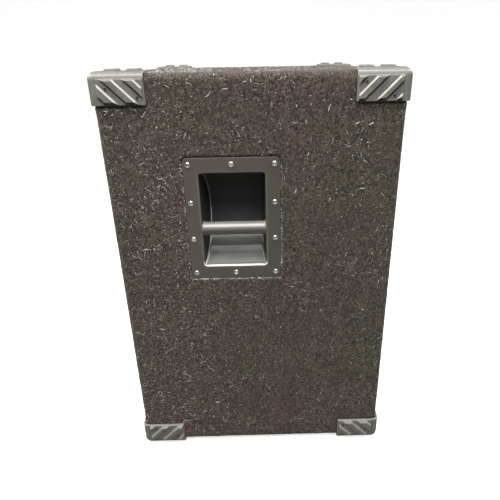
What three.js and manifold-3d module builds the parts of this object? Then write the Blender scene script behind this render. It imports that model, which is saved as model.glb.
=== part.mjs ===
// Carpet-covered two-way PA speaker cabinet, in millimetres.
// +Z is up and the grille faces -Y. The origin is on the floor, under the centre of the footprint.

import * as THREE from 'three';
import { RoundedBoxGeometry } from 'three/addons/geometries/RoundedBoxGeometry.js';
import { LoftGeometry } from 'three/addons/geometries/LoftGeometry.js';
import { mergeVertices } from 'three/addons/utils/BufferGeometryUtils.js';
import Module from 'manifold-3d';

// ---------------------------------------------------------------- driving dimensions

const WIDTH = 508; // carpet to carpet, side to side
const DEPTH = 465; // carpet to carpet, front to back
const CARPET_Z = [7, 703]; // underside and top of the carpet
const EDGE_RADIUS = 12; // outer edges of the carpeted box
const CARPET_LAYER = 4; // carpet and its glue line, from wood to pile tips
const GAP = 0.3; // clearance between pieces cut by their neighbours
const ROUND = 16; // facets round a turned piece
const BOARD = 18; // thickness of every wood panel

const BAFFLE_FRONT = -198.5; // front face of the baffle board
const GRILLE_FRONT = -226; // front face of the grille
const GRILLE_SHEET = 1.5;

const GUARD_PROUD = 4; // corner protector skin, above the carpet
const GUARD_RIB = 4; // tops of the side flange's ribs, above the skin
const GUARD_GROOVE = 1.8; // groove floors, above the skin
const GUARD_PAD = 3; // tops of the pads on the top and bottom flanges, above the skin
const GUARD_LONG = 82; // along Y
const GUARD_SHORT = 47.3; // along X and along Z
const GUARD_CORNER = 1.5; // radius of each flange's free corner

const HANDLE_Y = -34.5; // centre of the handle plate
const HANDLE_Z = 477.5;
const PLATE = { width: 153, height: 207.5, radius: 7.5, thick: 2, sunk: 1 };
const MOUTH_WIDTH = 105;
const SCOOP = { radius: 79, wall: 1.6, draft: 4.5 * Math.PI / 180 };
const GRIP = { radius: 11, flare: 12.8, flareLength: 7, behindPlate: 12.5, below: 16.5 };
const SCREW_HOLE = 2.6;
const HANDLE_SCREWS = { acrossHalf: 67.5, downHalf: 92.75, downInner: 30.9 };

const WOOFER_Z = 233;
const HORN_Z = 556;
const PORT_X = 181;
const INPUT_Z = 330;

// ---------------------------------------------------------------- boolean solids

const wasm = await Module();
wasm.setup();

function signedVolume(geometry) {
  const p = geometry.getAttribute('position');
  const index = geometry.index;
  const a = new THREE.Vector3();
  const b = new THREE.Vector3();
  const c = new THREE.Vector3();
  let volume = 0;
  for (let i = 0; i < index.count; i += 3) {
    a.fromBufferAttribute(p, index.getX(i));
    b.fromBufferAttribute(p, index.getX(i + 1));
    c.fromBufferAttribute(p, index.getX(i + 2));
    volume += a.dot(b.cross(c)) / 6;
  }
  return volume;
}

// Keeps positions only, joins shared corners, drops triangles with a repeated corner, faces them out.
function welded(geometry) {
  const bare = geometry.index ? geometry.toNonIndexed() : geometry.clone();
  bare.deleteAttribute('normal');
  bare.deleteAttribute('uv');
  const joined = mergeVertices(bare, 1e-4);
  const kept = [];
  for (let i = 0; i < joined.index.count; i += 3) {
    const corners = [0, 1, 2].map((k) => joined.index.getX(i + k));
    if (new Set(corners).size === 3) kept.push(...corners);
  }
  joined.setIndex(kept);
  if (signedVolume(joined) < 0) {
    for (let i = 0; i < kept.length; i += 3) [kept[i], kept[i + 1]] = [kept[i + 1], kept[i]];
    joined.setIndex(kept);
  }
  return joined;
}

function solid(geometry) {
  const g = welded(geometry);
  const mesh = new wasm.Mesh({
    numProp: 3,
    vertProperties: new Float32Array(g.getAttribute('position').array),
    triVerts: new Uint32Array(g.index.array),
  });
  return new wasm.Manifold(mesh);
}

function geometryOf(manifold) {
  const mesh = manifold.getMesh();
  const geometry = new THREE.BufferGeometry();
  geometry.setAttribute('position', new THREE.BufferAttribute(new Float32Array(mesh.vertProperties), 3));
  geometry.setIndex(new THREE.BufferAttribute(new Uint32Array(mesh.triVerts), 1));
  return geometry;
}

const cutAll = (body, tools) => tools.reduce((left, tool) => left.subtract(tool), body);
const joinAll = (bodies) => bodies.reduce((left, body) => left.add(body));

// ---------------------------------------------------------------- shape helpers

function box(x, y, z) {
  const geometry = new THREE.BoxGeometry(x[1] - x[0], y[1] - y[0], z[1] - z[0]);
  return geometry.translate((x[0] + x[1]) / 2, (y[0] + y[1]) / 2, (z[0] + z[1]) / 2);
}

function roundedBox(x, y, z, radius, segments) {
  const geometry = new RoundedBoxGeometry(x[1] - x[0], y[1] - y[0], z[1] - z[0], segments, radius);
  return geometry.translate((x[0] + x[1]) / 2, (y[0] + y[1]) / 2, (z[0] + z[1]) / 2);
}

// The cabinet's rounded box, moved in by an inset from the carpet's outer faces.
function cabinetBox(inset, segments) {
  return roundedBox(
    [-WIDTH / 2 + inset, WIDTH / 2 - inset],
    [-DEPTH / 2 + inset, DEPTH / 2 - inset],
    [CARPET_Z[0] + inset, CARPET_Z[1] - inset],
    EDGE_RADIUS - inset,
    segments,
  );
}

function roundedRectangle(width, height, radius) {
  const shape = new THREE.Shape();
  const w = width / 2;
  const h = height / 2;
  shape.moveTo(w - radius, -h);
  shape.absarc(w - radius, -h + radius, radius, -Math.PI / 2, 0);
  shape.absarc(w - radius, h - radius, radius, 0, Math.PI / 2);
  shape.absarc(-w + radius, h - radius, radius, Math.PI / 2, Math.PI);
  shape.absarc(-w + radius, -h + radius, radius, Math.PI, Math.PI * 1.5);
  shape.closePath();
  return shape;
}

const extrude = (shape, depth, curveSegments = 3) =>
  new THREE.ExtrudeGeometry(shape, { depth, bevelEnabled: false, curveSegments });

// A plate drawn in (Y, Z), centred on the origin, running from x = 0 to x = depth.
function sidePlate(shape, depth) {
  return extrude(shape, depth).rotateX(Math.PI / 2).rotateZ(Math.PI / 2);
}

// A plate drawn in (X, Z), centred on the origin, running from y = 0 to y = depth.
function frontPlate(shape, depth) {
  return extrude(shape, depth).rotateX(Math.PI / 2).translate(0, depth, 0);
}

// A solid of revolution about Y: points are [radius, y].
const turned = (points, facets = ROUND) =>
  new THREE.LatheGeometry(points.map(([r, y]) => new THREE.Vector2(r, y)), facets);

const ring = (inner, outer, y0, y1) =>
  turned([[inner, y0], [outer, y0], [outer, y1], [inner, y1], [inner, y0]]);

const disc = (radius, y0, y1) => turned([[0, y0], [radius, y0], [radius, y1], [0, y1]]);

// A closed thin shell: a curve of [radius, y] points and the same curve moved back by a thickness.
const shell = (points, thick) =>
  turned([...points, ...points.map(([r, y]) => [r, y + thick]).reverse(), points[0]]);

// ---------------------------------------------------------------- the scene graph

const cabinet = new THREE.Group();

function part(name, geometry, color, roughness, metalness = 0) {
  const material = new THREE.MeshStandardMaterial({ color, roughness, metalness });
  const mesh = new THREE.Mesh(welded(geometry), material);
  mesh.name = name;
  cabinet.add(mesh);
  return mesh;
}

const WOOD = [0xb08a5a, 0.8];
const CARPET = [0x39342f, 0.98];
const PLASTIC = [0x6f6f6a, 0.5];
const BLACK_STEEL = [0x2b2b2a, 0.4, 0.6];
const BARE_STEEL = [0xb8b8b4, 0.3, 1];
const CHROME = [0xd8d8d6, 0.15, 1];
const FERRITE = [0x26262a, 0.7];
const PAPER = [0x1d1d1e, 0.9];
const CLOTH = [0x232220, 0.9];
const TRIM_PLASTIC = [0x1a1a1a, 0.45];
const BOARD_GREEN = [0x2d5a3a, 0.6];

// ---------------------------------------------------------------- side-dependent cutting tools

// Mirrors a solid built for the +X side when side is -1.
const onSide = (manifold, side) => (side > 0 ? manifold : manifold.mirror([1, 0, 0]));

const PLATE_BACK = WIDTH / 2 - PLATE.sunk - PLATE.thick;
const WOOD_SIDE = WIDTH / 2 - CARPET_LAYER;
const WOOD_Y = DEPTH / 2 - CARPET_LAYER;
const WOOD_Z = [CARPET_Z[0] + CARPET_LAYER, CARPET_Z[1] - CARPET_LAYER];
const INNER_X = WOOD_SIDE - BOARD;
const INNER_Z = [WOOD_Z[0] + BOARD, WOOD_Z[1] - BOARD];
const BAFFLE_BACK = BAFFLE_FRONT + BOARD;
const BACK_INNER = WOOD_Y - BOARD;

function handleScrewPlaces() {
  const { acrossHalf, downHalf, downInner } = HANDLE_SCREWS;
  const places = [];
  for (const v of [downHalf, downInner, -downInner, -downHalf]) {
    for (const u of [-acrossHalf, acrossHalf]) places.push([HANDLE_Y + u, HANDLE_Z + v]);
  }
  places.push([HANDLE_Y, HANDLE_Z + downHalf]);
  places.push([HANDLE_Y, HANDLE_Z - downHalf]);
  return places;
}

// A round rod along X, from x0 to x1.
function rodX(radius, x0, x1, y, z) {
  const rod = new THREE.CylinderGeometry(radius, radius, x1 - x0, 8);
  return rod.rotateZ(Math.PI / 2).translate((x0 + x1) / 2, y, z);
}

// ---------------------------------------------------------------- wood panels

function woodPanel(x, y, z, cutters = []) {
  const panel = solid(box(x, y, z)).intersect(solid(cabinetBox(CARPET_LAYER, 2)));
  return geometryOf(cutAll(panel, cutters));
}

function sidePanel(side) {
  const clearance = 2;
  const pilotDepth = 16;
  const opening = box(
    [INNER_X - 1, WOOD_SIDE + 1],
    [HANDLE_Y - MOUTH_WIDTH / 2 - clearance, HANDLE_Y + MOUTH_WIDTH / 2 + clearance],
    [HANDLE_Z - SCOOP.radius - clearance, HANDLE_Z + SCOOP.radius + clearance],
  );
  const pilotEnds = [WOOD_SIDE - pilotDepth, WOOD_SIDE + 1];
  const pilots = handleScrewPlaces().map(([y, z]) => solid(rodX(SCREW_HOLE, ...pilotEnds, y, z)));
  const x = [INNER_X, WOOD_SIDE];
  const panel = solid(box(x, [-WOOD_Y, WOOD_Y], WOOD_Z)).intersect(solid(cabinetBox(CARPET_LAYER, 2)));
  return geometryOf(onSide(cutAll(panel, [solid(opening), ...pilots]), side));
}

const acrossCabinet = [-INNER_X, INNER_X];
const POLE = { bore: 18.25, wall: 2.5, depth: 80, flange: 42, flangeThick: 2.7 };
const poleCutter = disc(POLE.bore + POLE.wall + GAP, -2 * BOARD, 2 * BOARD).rotateX(Math.PI / 2);

const INPUT = {
  width: 150,
  height: 120,
  radius: 6,
  dishWidth: 110,
  dishHeight: 80,
  dishDepth: 26,
  sheet: 2,
};
const dishHole = box(
  [-INPUT.dishWidth / 2 - INPUT.sheet - GAP, INPUT.dishWidth / 2 + INPUT.sheet + GAP],
  [BACK_INNER - 1, DEPTH / 2 + 1],
  [INPUT_Z - INPUT.dishHeight / 2 - INPUT.sheet - GAP, INPUT_Z + INPUT.dishHeight / 2 + INPUT.sheet + GAP],
);

const BASKET_HOLE = 178.6;
const HORN = {
  flangeWidth: 270,
  flangeHeight: 220,
  mouthWidth: 246,
  mouthHeight: 196,
  throat: 12.7,
  length: 150,
  wall: 3,
  flareRate: 1.7, // power of the opening's growth from throat to mouth
  mouthSquareness: 6, // added to the exponent of the superellipse, which is 2 at the throat
  facets: 20,
};
const PORT = { bore: 40, wall: 2.5, lip: 44.5, length: 80 };

function baffleCutters() {
  const through = [BAFFLE_FRONT - 1, BAFFLE_BACK + 1];
  const hornRoom = HORN.wall + 1;
  const woofer = disc(BASKET_HOLE, ...through).translate(0, 0, WOOFER_Z);
  const horn = box(
    [-HORN.mouthWidth / 2 - hornRoom, HORN.mouthWidth / 2 + hornRoom],
    through,
    [HORN_Z - HORN.mouthHeight / 2 - hornRoom, HORN_Z + HORN.mouthHeight / 2 + hornRoom],
  );
  const ports = [-1, 1].map((side) =>
    disc(PORT.bore + PORT.wall + GAP, ...through).translate(side * PORT_X, 0, HORN_Z));
  return [woofer, horn, ...ports].map(solid);
}

part('side_panel_right', sidePanel(1), ...WOOD);
part('side_panel_left', sidePanel(-1), ...WOOD);
part('top_panel', woodPanel(acrossCabinet, [-WOOD_Y, WOOD_Y], [INNER_Z[1], WOOD_Z[1]]), ...WOOD);
part(
  'bottom_panel',
  woodPanel(acrossCabinet, [-WOOD_Y, WOOD_Y], [WOOD_Z[0], INNER_Z[0]], [solid(poleCutter)]),
  ...WOOD,
);
part('back_panel', woodPanel(acrossCabinet, [BACK_INNER, WOOD_Y], INNER_Z, [solid(dishHole)]), ...WOOD);
part(
  'baffle_board',
  woodPanel(acrossCabinet, [BAFFLE_FRONT, BAFFLE_BACK], INNER_Z, baffleCutters()),
  ...WOOD,
);
part('centre_brace', box([-BOARD / 2, BOARD / 2], [BAFFLE_BACK, BACK_INNER], [415, 455]), ...WOOD);

// ---------------------------------------------------------------- carpet covering

// The carpet is wrapped round the box and turned into the recess in front of the baffle board.
function carpetCover() {
  const outer = solid(cabinetBox(0, 3));
  const underside = CARPET_LAYER - GAP;
  const recessEnd = BAFFLE_FRONT - GAP;
  const beyond = -DEPTH;
  const liningOuter = solid(box(
    [-INNER_X + GAP, INNER_X - GAP],
    [beyond, recessEnd],
    [INNER_Z[0] + GAP, INNER_Z[1] - GAP],
  ));
  const liningInner = solid(box(
    [-INNER_X + CARPET_LAYER, INNER_X - CARPET_LAYER],
    [beyond, recessEnd + 1],
    [INNER_Z[0] + CARPET_LAYER, INNER_Z[1] - CARPET_LAYER],
  ));
  const hollow = solid(cabinetBox(underside, 2)).subtract(liningOuter);
  const wrapped = outer.subtract(hollow).subtract(liningInner);

  const platePocket = sidePlate(
    roundedRectangle(PLATE.width + 2 * GAP, PLATE.height + 2 * GAP, PLATE.radius + GAP),
    2 * CARPET_LAYER,
  ).translate(PLATE_BACK, HANDLE_Y, HANDLE_Z);
  const trim = 5;
  const plateOpening = sidePlate(
    roundedRectangle(PLATE.width - 2 * trim, PLATE.height - 2 * trim, trim),
    4 * CARPET_LAYER,
  ).translate(WIDTH / 2 - 2 * CARPET_LAYER, HANDLE_Y, HANDLE_Z);
  const handleCut = solid(platePocket).add(solid(plateOpening));

  const inputOutline = roundedRectangle(INPUT.width + 2 * GAP, INPUT.height + 2 * GAP, INPUT.radius);
  const inputCut = frontPlate(inputOutline, 4 * CARPET_LAYER).translate(0, WOOD_Y - CARPET_LAYER, INPUT_Z);
  const poleRadius = POLE.flange + GAP;
  const poleCut = disc(poleRadius, -10, 10).rotateX(Math.PI / 2).translate(0, 0, CARPET_Z[0]);
  return geometryOf(cutAll(wrapped, [handleCut, onSide(handleCut, -1), solid(inputCut), solid(poleCut)]));
}

part('carpet_cover', carpetCover(), ...CARPET);

// ---------------------------------------------------------------- corner protectors

// Built in corner coordinates: u runs inwards along Y, v inwards along X and w inwards along Z,
// from the vertex of the protector's skin. x, y, z of the geometry hold u, v, w.
const RIB_BLOCK = { u: [14.5, 80.3], w: [11, 46.6], v: [11.7, 45.3] };
const RIB_CHAMFER = 2.6;
const PAD_CHAMFER = 2;
const SCREW_WELL = { radius: 3.6, hole: 1.8 };

// Diagonal bands u - w between two limits, cut to the rib block.
const RIB_PATTERNS = {
  outer: { bands: [[-22.5, -2.3], [8.5, 27.5], [40, 57.4]], screws: [[27.3, 23.4], [71.3, 36.1]] },
  inner: { bands: [[-60, -19.9], [-6.7, 9], [24.1, 42.5], [54, 90]], screws: [[26.8, 38.7], [69.5, 18.9]] },
};
const TOP_BANDS = [[24, 41], [56, 74]];

const rectangle = ([a0, a1], [b0, b1]) => [[a0, b0], [a1, b0], [a1, b1], [a0, b1]];

// The part of a rectangle where low <= u - w <= high, as a list of corners.
function bandPolygon(uRange, wRange, low, high) {
  const keep = (points, inside, cross) => {
    const out = [];
    points.forEach((p, i) => {
      const q = points[(i + 1) % points.length];
      if (inside(p)) out.push(p);
      if (inside(p) !== inside(q)) out.push(cross(p, q));
    });
    return out;
  };
  const along = (limit) => (p, q) => {
    const t = (limit - (p[0] - p[1])) / ((q[0] - q[1]) - (p[0] - p[1]));
    return [p[0] + t * (q[0] - p[0]), p[1] + t * (q[1] - p[1])];
  };
  const above = keep(rectangle(uRange, wRange), (p) => p[0] - p[1] >= low, along(low));
  return keep(above, (p) => p[0] - p[1] <= high, along(high));
}

// A chamfered pad: polygon corners [a, b] raised by height above the skin, with its foot in the skin.
function pad(points, height, chamfer) {
  const shape = new THREE.Shape(points.map(([a, b]) => new THREE.Vector2(a, b)));
  const foot = 3.5;
  const geometry = new THREE.ExtrudeGeometry(shape, {
    depth: foot + height - 2 * chamfer,
    bevelEnabled: true,
    bevelThickness: chamfer,
    bevelSize: chamfer,
    bevelOffset: -chamfer,
    bevelSegments: 1,
  });
  return geometry.translate(0, 0, chamfer - foot);
}

// Pads are drawn in (a, b) with +Z outwards. On the side flange (a, b) is (u, w) and outwards is -v.
const ontoSide = (geometry) => geometry.rotateX(Math.PI / 2);
// On the top flange (a, b) is (u, v) and outwards is -w, which takes a mirrored copy.
const ontoTop = (geometry) => geometry.scale(1, 1, -1);

function guardSkin() {
  const far = 200;
  const outer = solid(roundedBox([0, far], [0, far], [0, far], EDGE_RADIUS, 2));
  const inner = solid(roundedBox(
    [GUARD_PROUD, far],
    [GUARD_PROUD, far],
    [GUARD_PROUD, far],
    EDGE_RADIUS - GUARD_PROUD,
    1,
  ));
  const limits = solid(box([0, GUARD_LONG], [0, GUARD_SHORT], [0, GUARD_SHORT]));
  const trims = [
    cornerTrim(GUARD_LONG, GUARD_SHORT),
    cornerTrim(GUARD_LONG, GUARD_SHORT).rotateX(Math.PI / 2),
    cornerTrim(GUARD_SHORT, GUARD_SHORT).rotateY(-Math.PI / 2),
  ];
  return cutAll(outer.subtract(inner).intersect(limits), trims.map(solid));
}

// The waste outside a rounded corner at (a, b), as a prism along the third direction.
function cornerTrim(a, b) {
  const r = GUARD_CORNER;
  const shape = new THREE.Shape();
  shape.moveTo(a - r, b);
  shape.absarc(a - r, b - r, r, Math.PI / 2, 0, true);
  shape.lineTo(a + 1, b - r);
  shape.lineTo(a + 1, b + 1);
  shape.lineTo(a - r, b + 1);
  shape.closePath();
  return extrude(shape, 2 * GUARD_PROUD, 2).translate(0, 0, -GUARD_PROUD);
}

function cornerGuard(patternName) {
  const { bands, screws } = RIB_PATTERNS[patternName];
  const sideBase = pad(rectangle(RIB_BLOCK.u, RIB_BLOCK.w), GUARD_GROOVE, GUARD_GROOVE);
  const sidePads = bands
    .map(([low, high]) => bandPolygon(RIB_BLOCK.u, RIB_BLOCK.w, low, high))
    .map((points) => pad(points, GUARD_RIB, RIB_CHAMFER));
  const topPads = TOP_BANDS.map((band) => pad(rectangle(band, RIB_BLOCK.v), GUARD_PAD, PAD_CHAMFER));
  const raised = [sideBase, ...sidePads].map((g) => solid(ontoSide(g)));
  const wells = screws.flatMap(([u, w]) => [
    new THREE.CylinderGeometry(SCREW_WELL.radius, SCREW_WELL.radius, 4, 8).translate(u, -GUARD_GROOVE, w),
    new THREE.CylinderGeometry(SCREW_WELL.hole, SCREW_WELL.hole, 20, 6).translate(u, 0, w),
  ]);
  const body = joinAll([guardSkin(), ...raised, ...topPads.map((g) => solid(ontoTop(g)))]);
  return cutAll(body, wells.map(solid));
}

// Places a guard built in corner coordinates at one of the eight corners.
function placedGuard(guard, sideX, sideY, sideZ) {
  const x = WIDTH / 2 + GUARD_PROUD;
  const y = DEPTH / 2 + GUARD_PROUD;
  const z = sideZ > 0 ? CARPET_Z[1] + GUARD_PROUD : CARPET_Z[0] - GUARD_PROUD;
  const geometry = geometryOf(guard);
  const matrix = new THREE.Matrix4().set(
    0, -sideX, 0, sideX * x,
    -sideY, 0, 0, sideY * y,
    0, 0, -sideZ, z,
    0, 0, 0, 1,
  );
  return geometry.applyMatrix4(matrix);
}

const outerGuard = cornerGuard('outer');
const innerGuard = cornerGuard('inner');
for (const [sideX, xName] of [[1, 'right'], [-1, 'left']]) {
  for (const [sideY, yName] of [[-1, 'front'], [1, 'rear']]) {
    for (const [sideZ, zName] of [[1, 'top'], [-1, 'bottom']]) {
      const guard = sideY * sideZ < 0 ? outerGuard : innerGuard;
      part(`corner_${yName}_${zName}_${xName}`, placedGuard(guard, sideX, sideY, sideZ), ...PLASTIC);
    }
  }
}

// ---------------------------------------------------------------- handles

// The scoop's space, grown by a wall thickness: a half cylinder with drafted end walls.
function scoopSpace(grow, frontX) {
  const plateFront = WIDTH / 2 - PLATE.sunk;
  const radius = SCOOP.radius + grow;
  const bowl = new THREE.CylinderGeometry(radius, radius, 2 * MOUTH_WIDTH, 32).translate(plateFront, 0, 0);
  const half = MOUTH_WIDTH / 2 + grow;
  const back = plateFront - radius - 1;
  const run = frontX - plateFront;
  const narrowing = (plateFront - back) * Math.tan(SCOOP.draft);
  const flareOut = run * Math.tan(SCOOP.draft);
  const shape = new THREE.Shape([
    new THREE.Vector2(frontX, -half - flareOut),
    new THREE.Vector2(frontX, half + flareOut),
    new THREE.Vector2(back, half - narrowing),
    new THREE.Vector2(back, -half + narrowing),
  ]);
  const wedge = extrude(shape, 2 * radius + 2).translate(0, 0, -radius - 1);
  return solid(bowl).intersect(solid(wedge)).translate([0, HANDLE_Y, HANDLE_Z]);
}

function handlePan() {
  const plateFront = WIDTH / 2 - PLATE.sunk;
  const plate = sidePlate(roundedRectangle(PLATE.width, PLATE.height, PLATE.radius), PLATE.thick)
    .translate(PLATE_BACK, HANDLE_Y, HANDLE_Z);
  const beyondPlate = box([plateFront, WIDTH], [-DEPTH, DEPTH], [0, CARPET_Z[1]]);
  const holeEnds = [PLATE_BACK - 1, plateFront + 1];
  const holes = handleScrewPlaces().map(([y, z]) => solid(rodX(SCREW_HOLE, ...holeEnds, y, z)));
  const body = solid(plate).add(scoopSpace(SCOOP.wall, plateFront + 5).subtract(solid(beyondPlate)));
  return cutAll(body, [scoopSpace(0, plateFront + 5), ...holes]);
}

function gripBar() {
  const half = MOUTH_WIDTH / 2;
  const { radius, flare, flareLength } = GRIP;
  const bar = turned([
    [0, -half],
    [flare, -half],
    [radius + 0.6, -half + flareLength * 0.55],
    [radius, -half + flareLength],
    [radius, half - flareLength],
    [radius + 0.6, half - flareLength * 0.55],
    [flare, half],
    [0, half],
  ], 20).translate(WIDTH / 2 - PLATE.sunk - GRIP.behindPlate, HANDLE_Y, HANDLE_Z - GRIP.below);
  return solid(bar).intersect(scoopSpace(-GAP, WIDTH / 2 + 10));
}

// Pan-head screw along X: its head sits on the plate and its shank runs into the wood.
function handleScrew(y, z) {
  const head = 4.3;
  const screw = turned([
    [0, -16],
    [1.9, -13],
    [1.9, 0],
    [head, 0],
    [head, 1.1],
    [head * 0.72, 2.2],
    [0, 2.7],
  ], 8);
  return screw.rotateZ(-Math.PI / 2).translate(WIDTH / 2 - PLATE.sunk, y, z);
}

const pan = handlePan();
const bar = gripBar();
for (const [side, sideName] of [[1, 'right'], [-1, 'left']]) {
  part(`handle_pan_${sideName}`, geometryOf(onSide(pan, side)), ...BLACK_STEEL);
  part(`handle_bar_${sideName}`, geometryOf(onSide(bar, side)), ...BLACK_STEEL);
  handleScrewPlaces().forEach(([y, z], i) => {
    const screw = geometryOf(onSide(solid(handleScrew(y, z)), side));
    part(`handle_screw_${sideName}_${i + 1}`, screw, ...CHROME);
  });
}

// ---------------------------------------------------------------- front grille

function frontGrille() {
  const margin = 1;
  const x = INNER_X - CARPET_LAYER - margin;
  const z = [INNER_Z[0] + CARPET_LAYER + margin, INNER_Z[1] - CARPET_LAYER - margin];
  const outer = roundedBox([-x, x], [GRILLE_FRONT, 0], z, 4, 1);
  const front = box([-x, x], [GRILLE_FRONT, BAFFLE_FRONT], z);
  const hollow = box(
    [-x + GRILLE_SHEET, x - GRILLE_SHEET],
    [GRILLE_FRONT + GRILLE_SHEET, BAFFLE_FRONT + 1],
    [z[0] + GRILLE_SHEET, z[1] - GRILLE_SHEET],
  );
  return geometryOf(solid(outer).intersect(solid(front)).subtract(solid(hollow)));
}

part('front_grille', frontGrille(), ...BLACK_STEEL);

// ---------------------------------------------------------------- woofer

// Profiles are [radius, distance behind the baffle's front face].
const woofer = (name, geometry, look) => part(name, geometry.translate(0, BAFFLE_FRONT, WOOFER_Z), ...look);

const FLANGE = { radius: 194, thick: 4 };
const MOTOR = { start: 96, plate: 8, magnet: 24, back: 8, pole: 30.9, gapRadius: 34 };
const MAGNET_START = MOTOR.start + MOTOR.plate;
const MAGNET_END = MAGNET_START + MOTOR.magnet;

// Pressed frame: flange, conical wall with windows, ledge for the spider, seat for the magnet.
function wooferBasket() {
  const frame = solid(turned([
    [FLANGE.radius, -FLANGE.thick], [FLANGE.radius, 0], [178, 0], [175, 14], [101, 78], [101, MOTOR.start],
    [MOTOR.gapRadius, MOTOR.start], [MOTOR.gapRadius, MOTOR.start - 4], [97, MOTOR.start - 4], [97, 81],
    [87, 81], [87, 78], [98, 78], [172, 11], [176, -FLANGE.thick], [FLANGE.radius, -FLANGE.thick],
  ]));
  const corners = [[-60, 22], [60, 22], [36, 72], [-36, 72]];
  const shape = new THREE.Shape(corners.map(([x, y]) => new THREE.Vector2(x, y)));
  const window = extrude(shape, 120).translate(0, 0, 80);
  const count = 6;
  const windows = [];
  for (let i = 0; i < count; i += 1) windows.push(solid(window.clone().rotateY((i * 2 * Math.PI) / count)));
  return geometryOf(cutAll(frame, windows));
}

woofer('woofer_basket', wooferBasket(), BLACK_STEEL);
woofer('woofer_top_plate', ring(MOTOR.gapRadius, 84, MOTOR.start, MAGNET_START), BARE_STEEL);
woofer('woofer_magnet', ring(45, 88, MAGNET_START, MAGNET_END), FERRITE);
woofer('woofer_yoke', turned([
  [12, 98], [MOTOR.pole, 98], [MOTOR.pole, MAGNET_END], [80, MAGNET_END],
  [80, MAGNET_END + MOTOR.back], [12, MAGNET_END + MOTOR.back], [12, 98],
]), BARE_STEEL);
woofer('woofer_cone', shell(
  [[164.2, -3.5], [140, 14], [110, 34], [80, 52], [55, 64], [33.2, 74]],
  1,
), PAPER);
woofer('woofer_dust_cap', turned([
  [0, 48], [20, 50.5], [36, 56], [50, 64.5], [50, 65.3], [36, 56.8], [20, 51.3], [0, 48.8],
]), PAPER);
woofer('woofer_surround', shell(
  [[186, -5.3], [179.5, -5.3], [177.5, -9], [172, -11.5], [166.5, -9], [164.5, -4.8]],
  1,
), CLOTH);
woofer('woofer_spider', shell([
  [33.1, 77], [43, 74.5], [54, 77], [65, 74.5], [76, 77], [86, 76.6], [96, 76.6],
], 1), CLOTH);
woofer('woofer_voice_coil', ring(32, 32.8, 72, 112), BARE_STEEL);

// ---------------------------------------------------------------- horn, driver and ports

// One cross-section of the horn, from a circle at the throat to a rounded rectangle at the mouth.
function hornSection(behind, grow) {
  const t = THREE.MathUtils.clamp(1 - behind / HORN.length, 0, 1);
  const opening = t ** HORN.flareRate;
  const halfWidth = HORN.throat + (HORN.mouthWidth / 2 - HORN.throat) * opening + grow;
  const halfHeight = HORN.throat + (HORN.mouthHeight / 2 - HORN.throat) * opening + grow;
  const squareness = 2 + HORN.mouthSquareness * t;
  const points = [];
  for (let i = 0; i < HORN.facets; i += 1) {
    const angle = (-(i + 0.5) * 2 * Math.PI) / HORN.facets;
    const c = Math.cos(angle);
    const s = Math.sin(angle);
    const reach = (Math.abs(c) ** squareness + Math.abs(s) ** squareness) ** (-1 / squareness);
    const x = c * reach * halfWidth;
    const z = HORN_Z + s * reach * halfHeight;
    points.push(new THREE.Vector3(x, BAFFLE_FRONT + behind, z));
  }
  return points;
}

function hornFlare() {
  const flangeThick = 4;
  const throatPlate = 6;
  const steps = [0, 20, 45, 75, 110, HORN.length];
  const outside = new LoftGeometry(
    steps.map((b) => hornSection(b, HORN.wall)),
    { capStart: true, capEnd: true },
  );
  const inside = new LoftGeometry(
    [-flangeThick - 1, ...steps, HORN.length + 1].map((b) => hornSection(b, 0)),
    { capStart: true, capEnd: true },
  );
  const flange = frontPlate(roundedRectangle(HORN.flangeWidth, HORN.flangeHeight, 10), flangeThick)
    .translate(0, BAFFLE_FRONT - flangeThick, HORN_Z);
  const seat = disc(40, HORN.length - throatPlate, HORN.length).translate(0, BAFFLE_FRONT, HORN_Z);
  return geometryOf(joinAll([outside, flange, seat].map(solid)).subtract(solid(inside)));
}

part('horn_flare', hornFlare(), ...TRIM_PLASTIC);

// The driver's bore opens into the chamber that holds its diaphragm.
const driver = turned([
  [0, 200], [30, 200], [30, 186], [HORN.throat, 186], [HORN.throat, HORN.length], [45, HORN.length],
  [45, 158], [65, 158], [65, 180], [58, 180], [58, 190], [48, 190], [48, 202], [40, 207], [0, 208],
]);
part('compression_driver', driver.translate(0, BAFFLE_FRONT, HORN_Z), ...BLACK_STEEL);

const diaphragm = turned([
  [0, 189], [15, 190.5], [24, 195], [28, 195], [28, 195.8], [24, 195.8], [15, 191.3], [0, 189.8],
]);
part('driver_diaphragm', diaphragm.translate(0, BAFFLE_FRONT, HORN_Z), ...BARE_STEEL);

for (const [side, sideName] of [[1, 'right'], [-1, 'left']]) {
  const outer = PORT.bore + PORT.wall;
  const tube = turned([
    [PORT.bore, -3], [PORT.lip, -3], [PORT.lip, 0], [outer, 0], [outer, PORT.length],
    [PORT.bore, PORT.length], [PORT.bore, -3],
  ]);
  part(`port_tube_${sideName}`, tube.translate(side * PORT_X, BAFFLE_FRONT, HORN_Z), ...TRIM_PLASTIC);
}

// ---------------------------------------------------------------- crossover, input plate, pole socket

// Board on four standoffs with two coils, two capacitors and a resistor, joined into one solid.
function crossoverBoard() {
  const z = 200;
  const front = BACK_INNER - 12;
  const sheet = 2;
  const along = (radius, height, x, dz) =>
    new THREE.CylinderGeometry(radius, radius, height, 16).translate(x, front - height / 2 + 0.5, z + dz);
  const standoffs = [[-75, -45], [75, -45], [-75, 45], [75, 45]].map(([x, dz]) =>
    new THREE.CylinderGeometry(4, 4, 12, 8).translate(x, BACK_INNER - 6, z + dz));
  const parts = [
    box([-85, 85], [front, front + sheet], [z - 55, z + 55]),
    along(27, 22, -48, 8),
    along(21, 18, 14, 22),
    along(9, 34, 52, 26),
    along(9, 34, 52, -6),
    box([-12, 38], [front - 10, front + 1], [z - 42, z - 30]),
    ...standoffs,
  ];
  return geometryOf(joinAll(parts.map(solid)));
}

part('crossover_board', crossoverBoard(), ...BOARD_GREEN);

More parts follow.
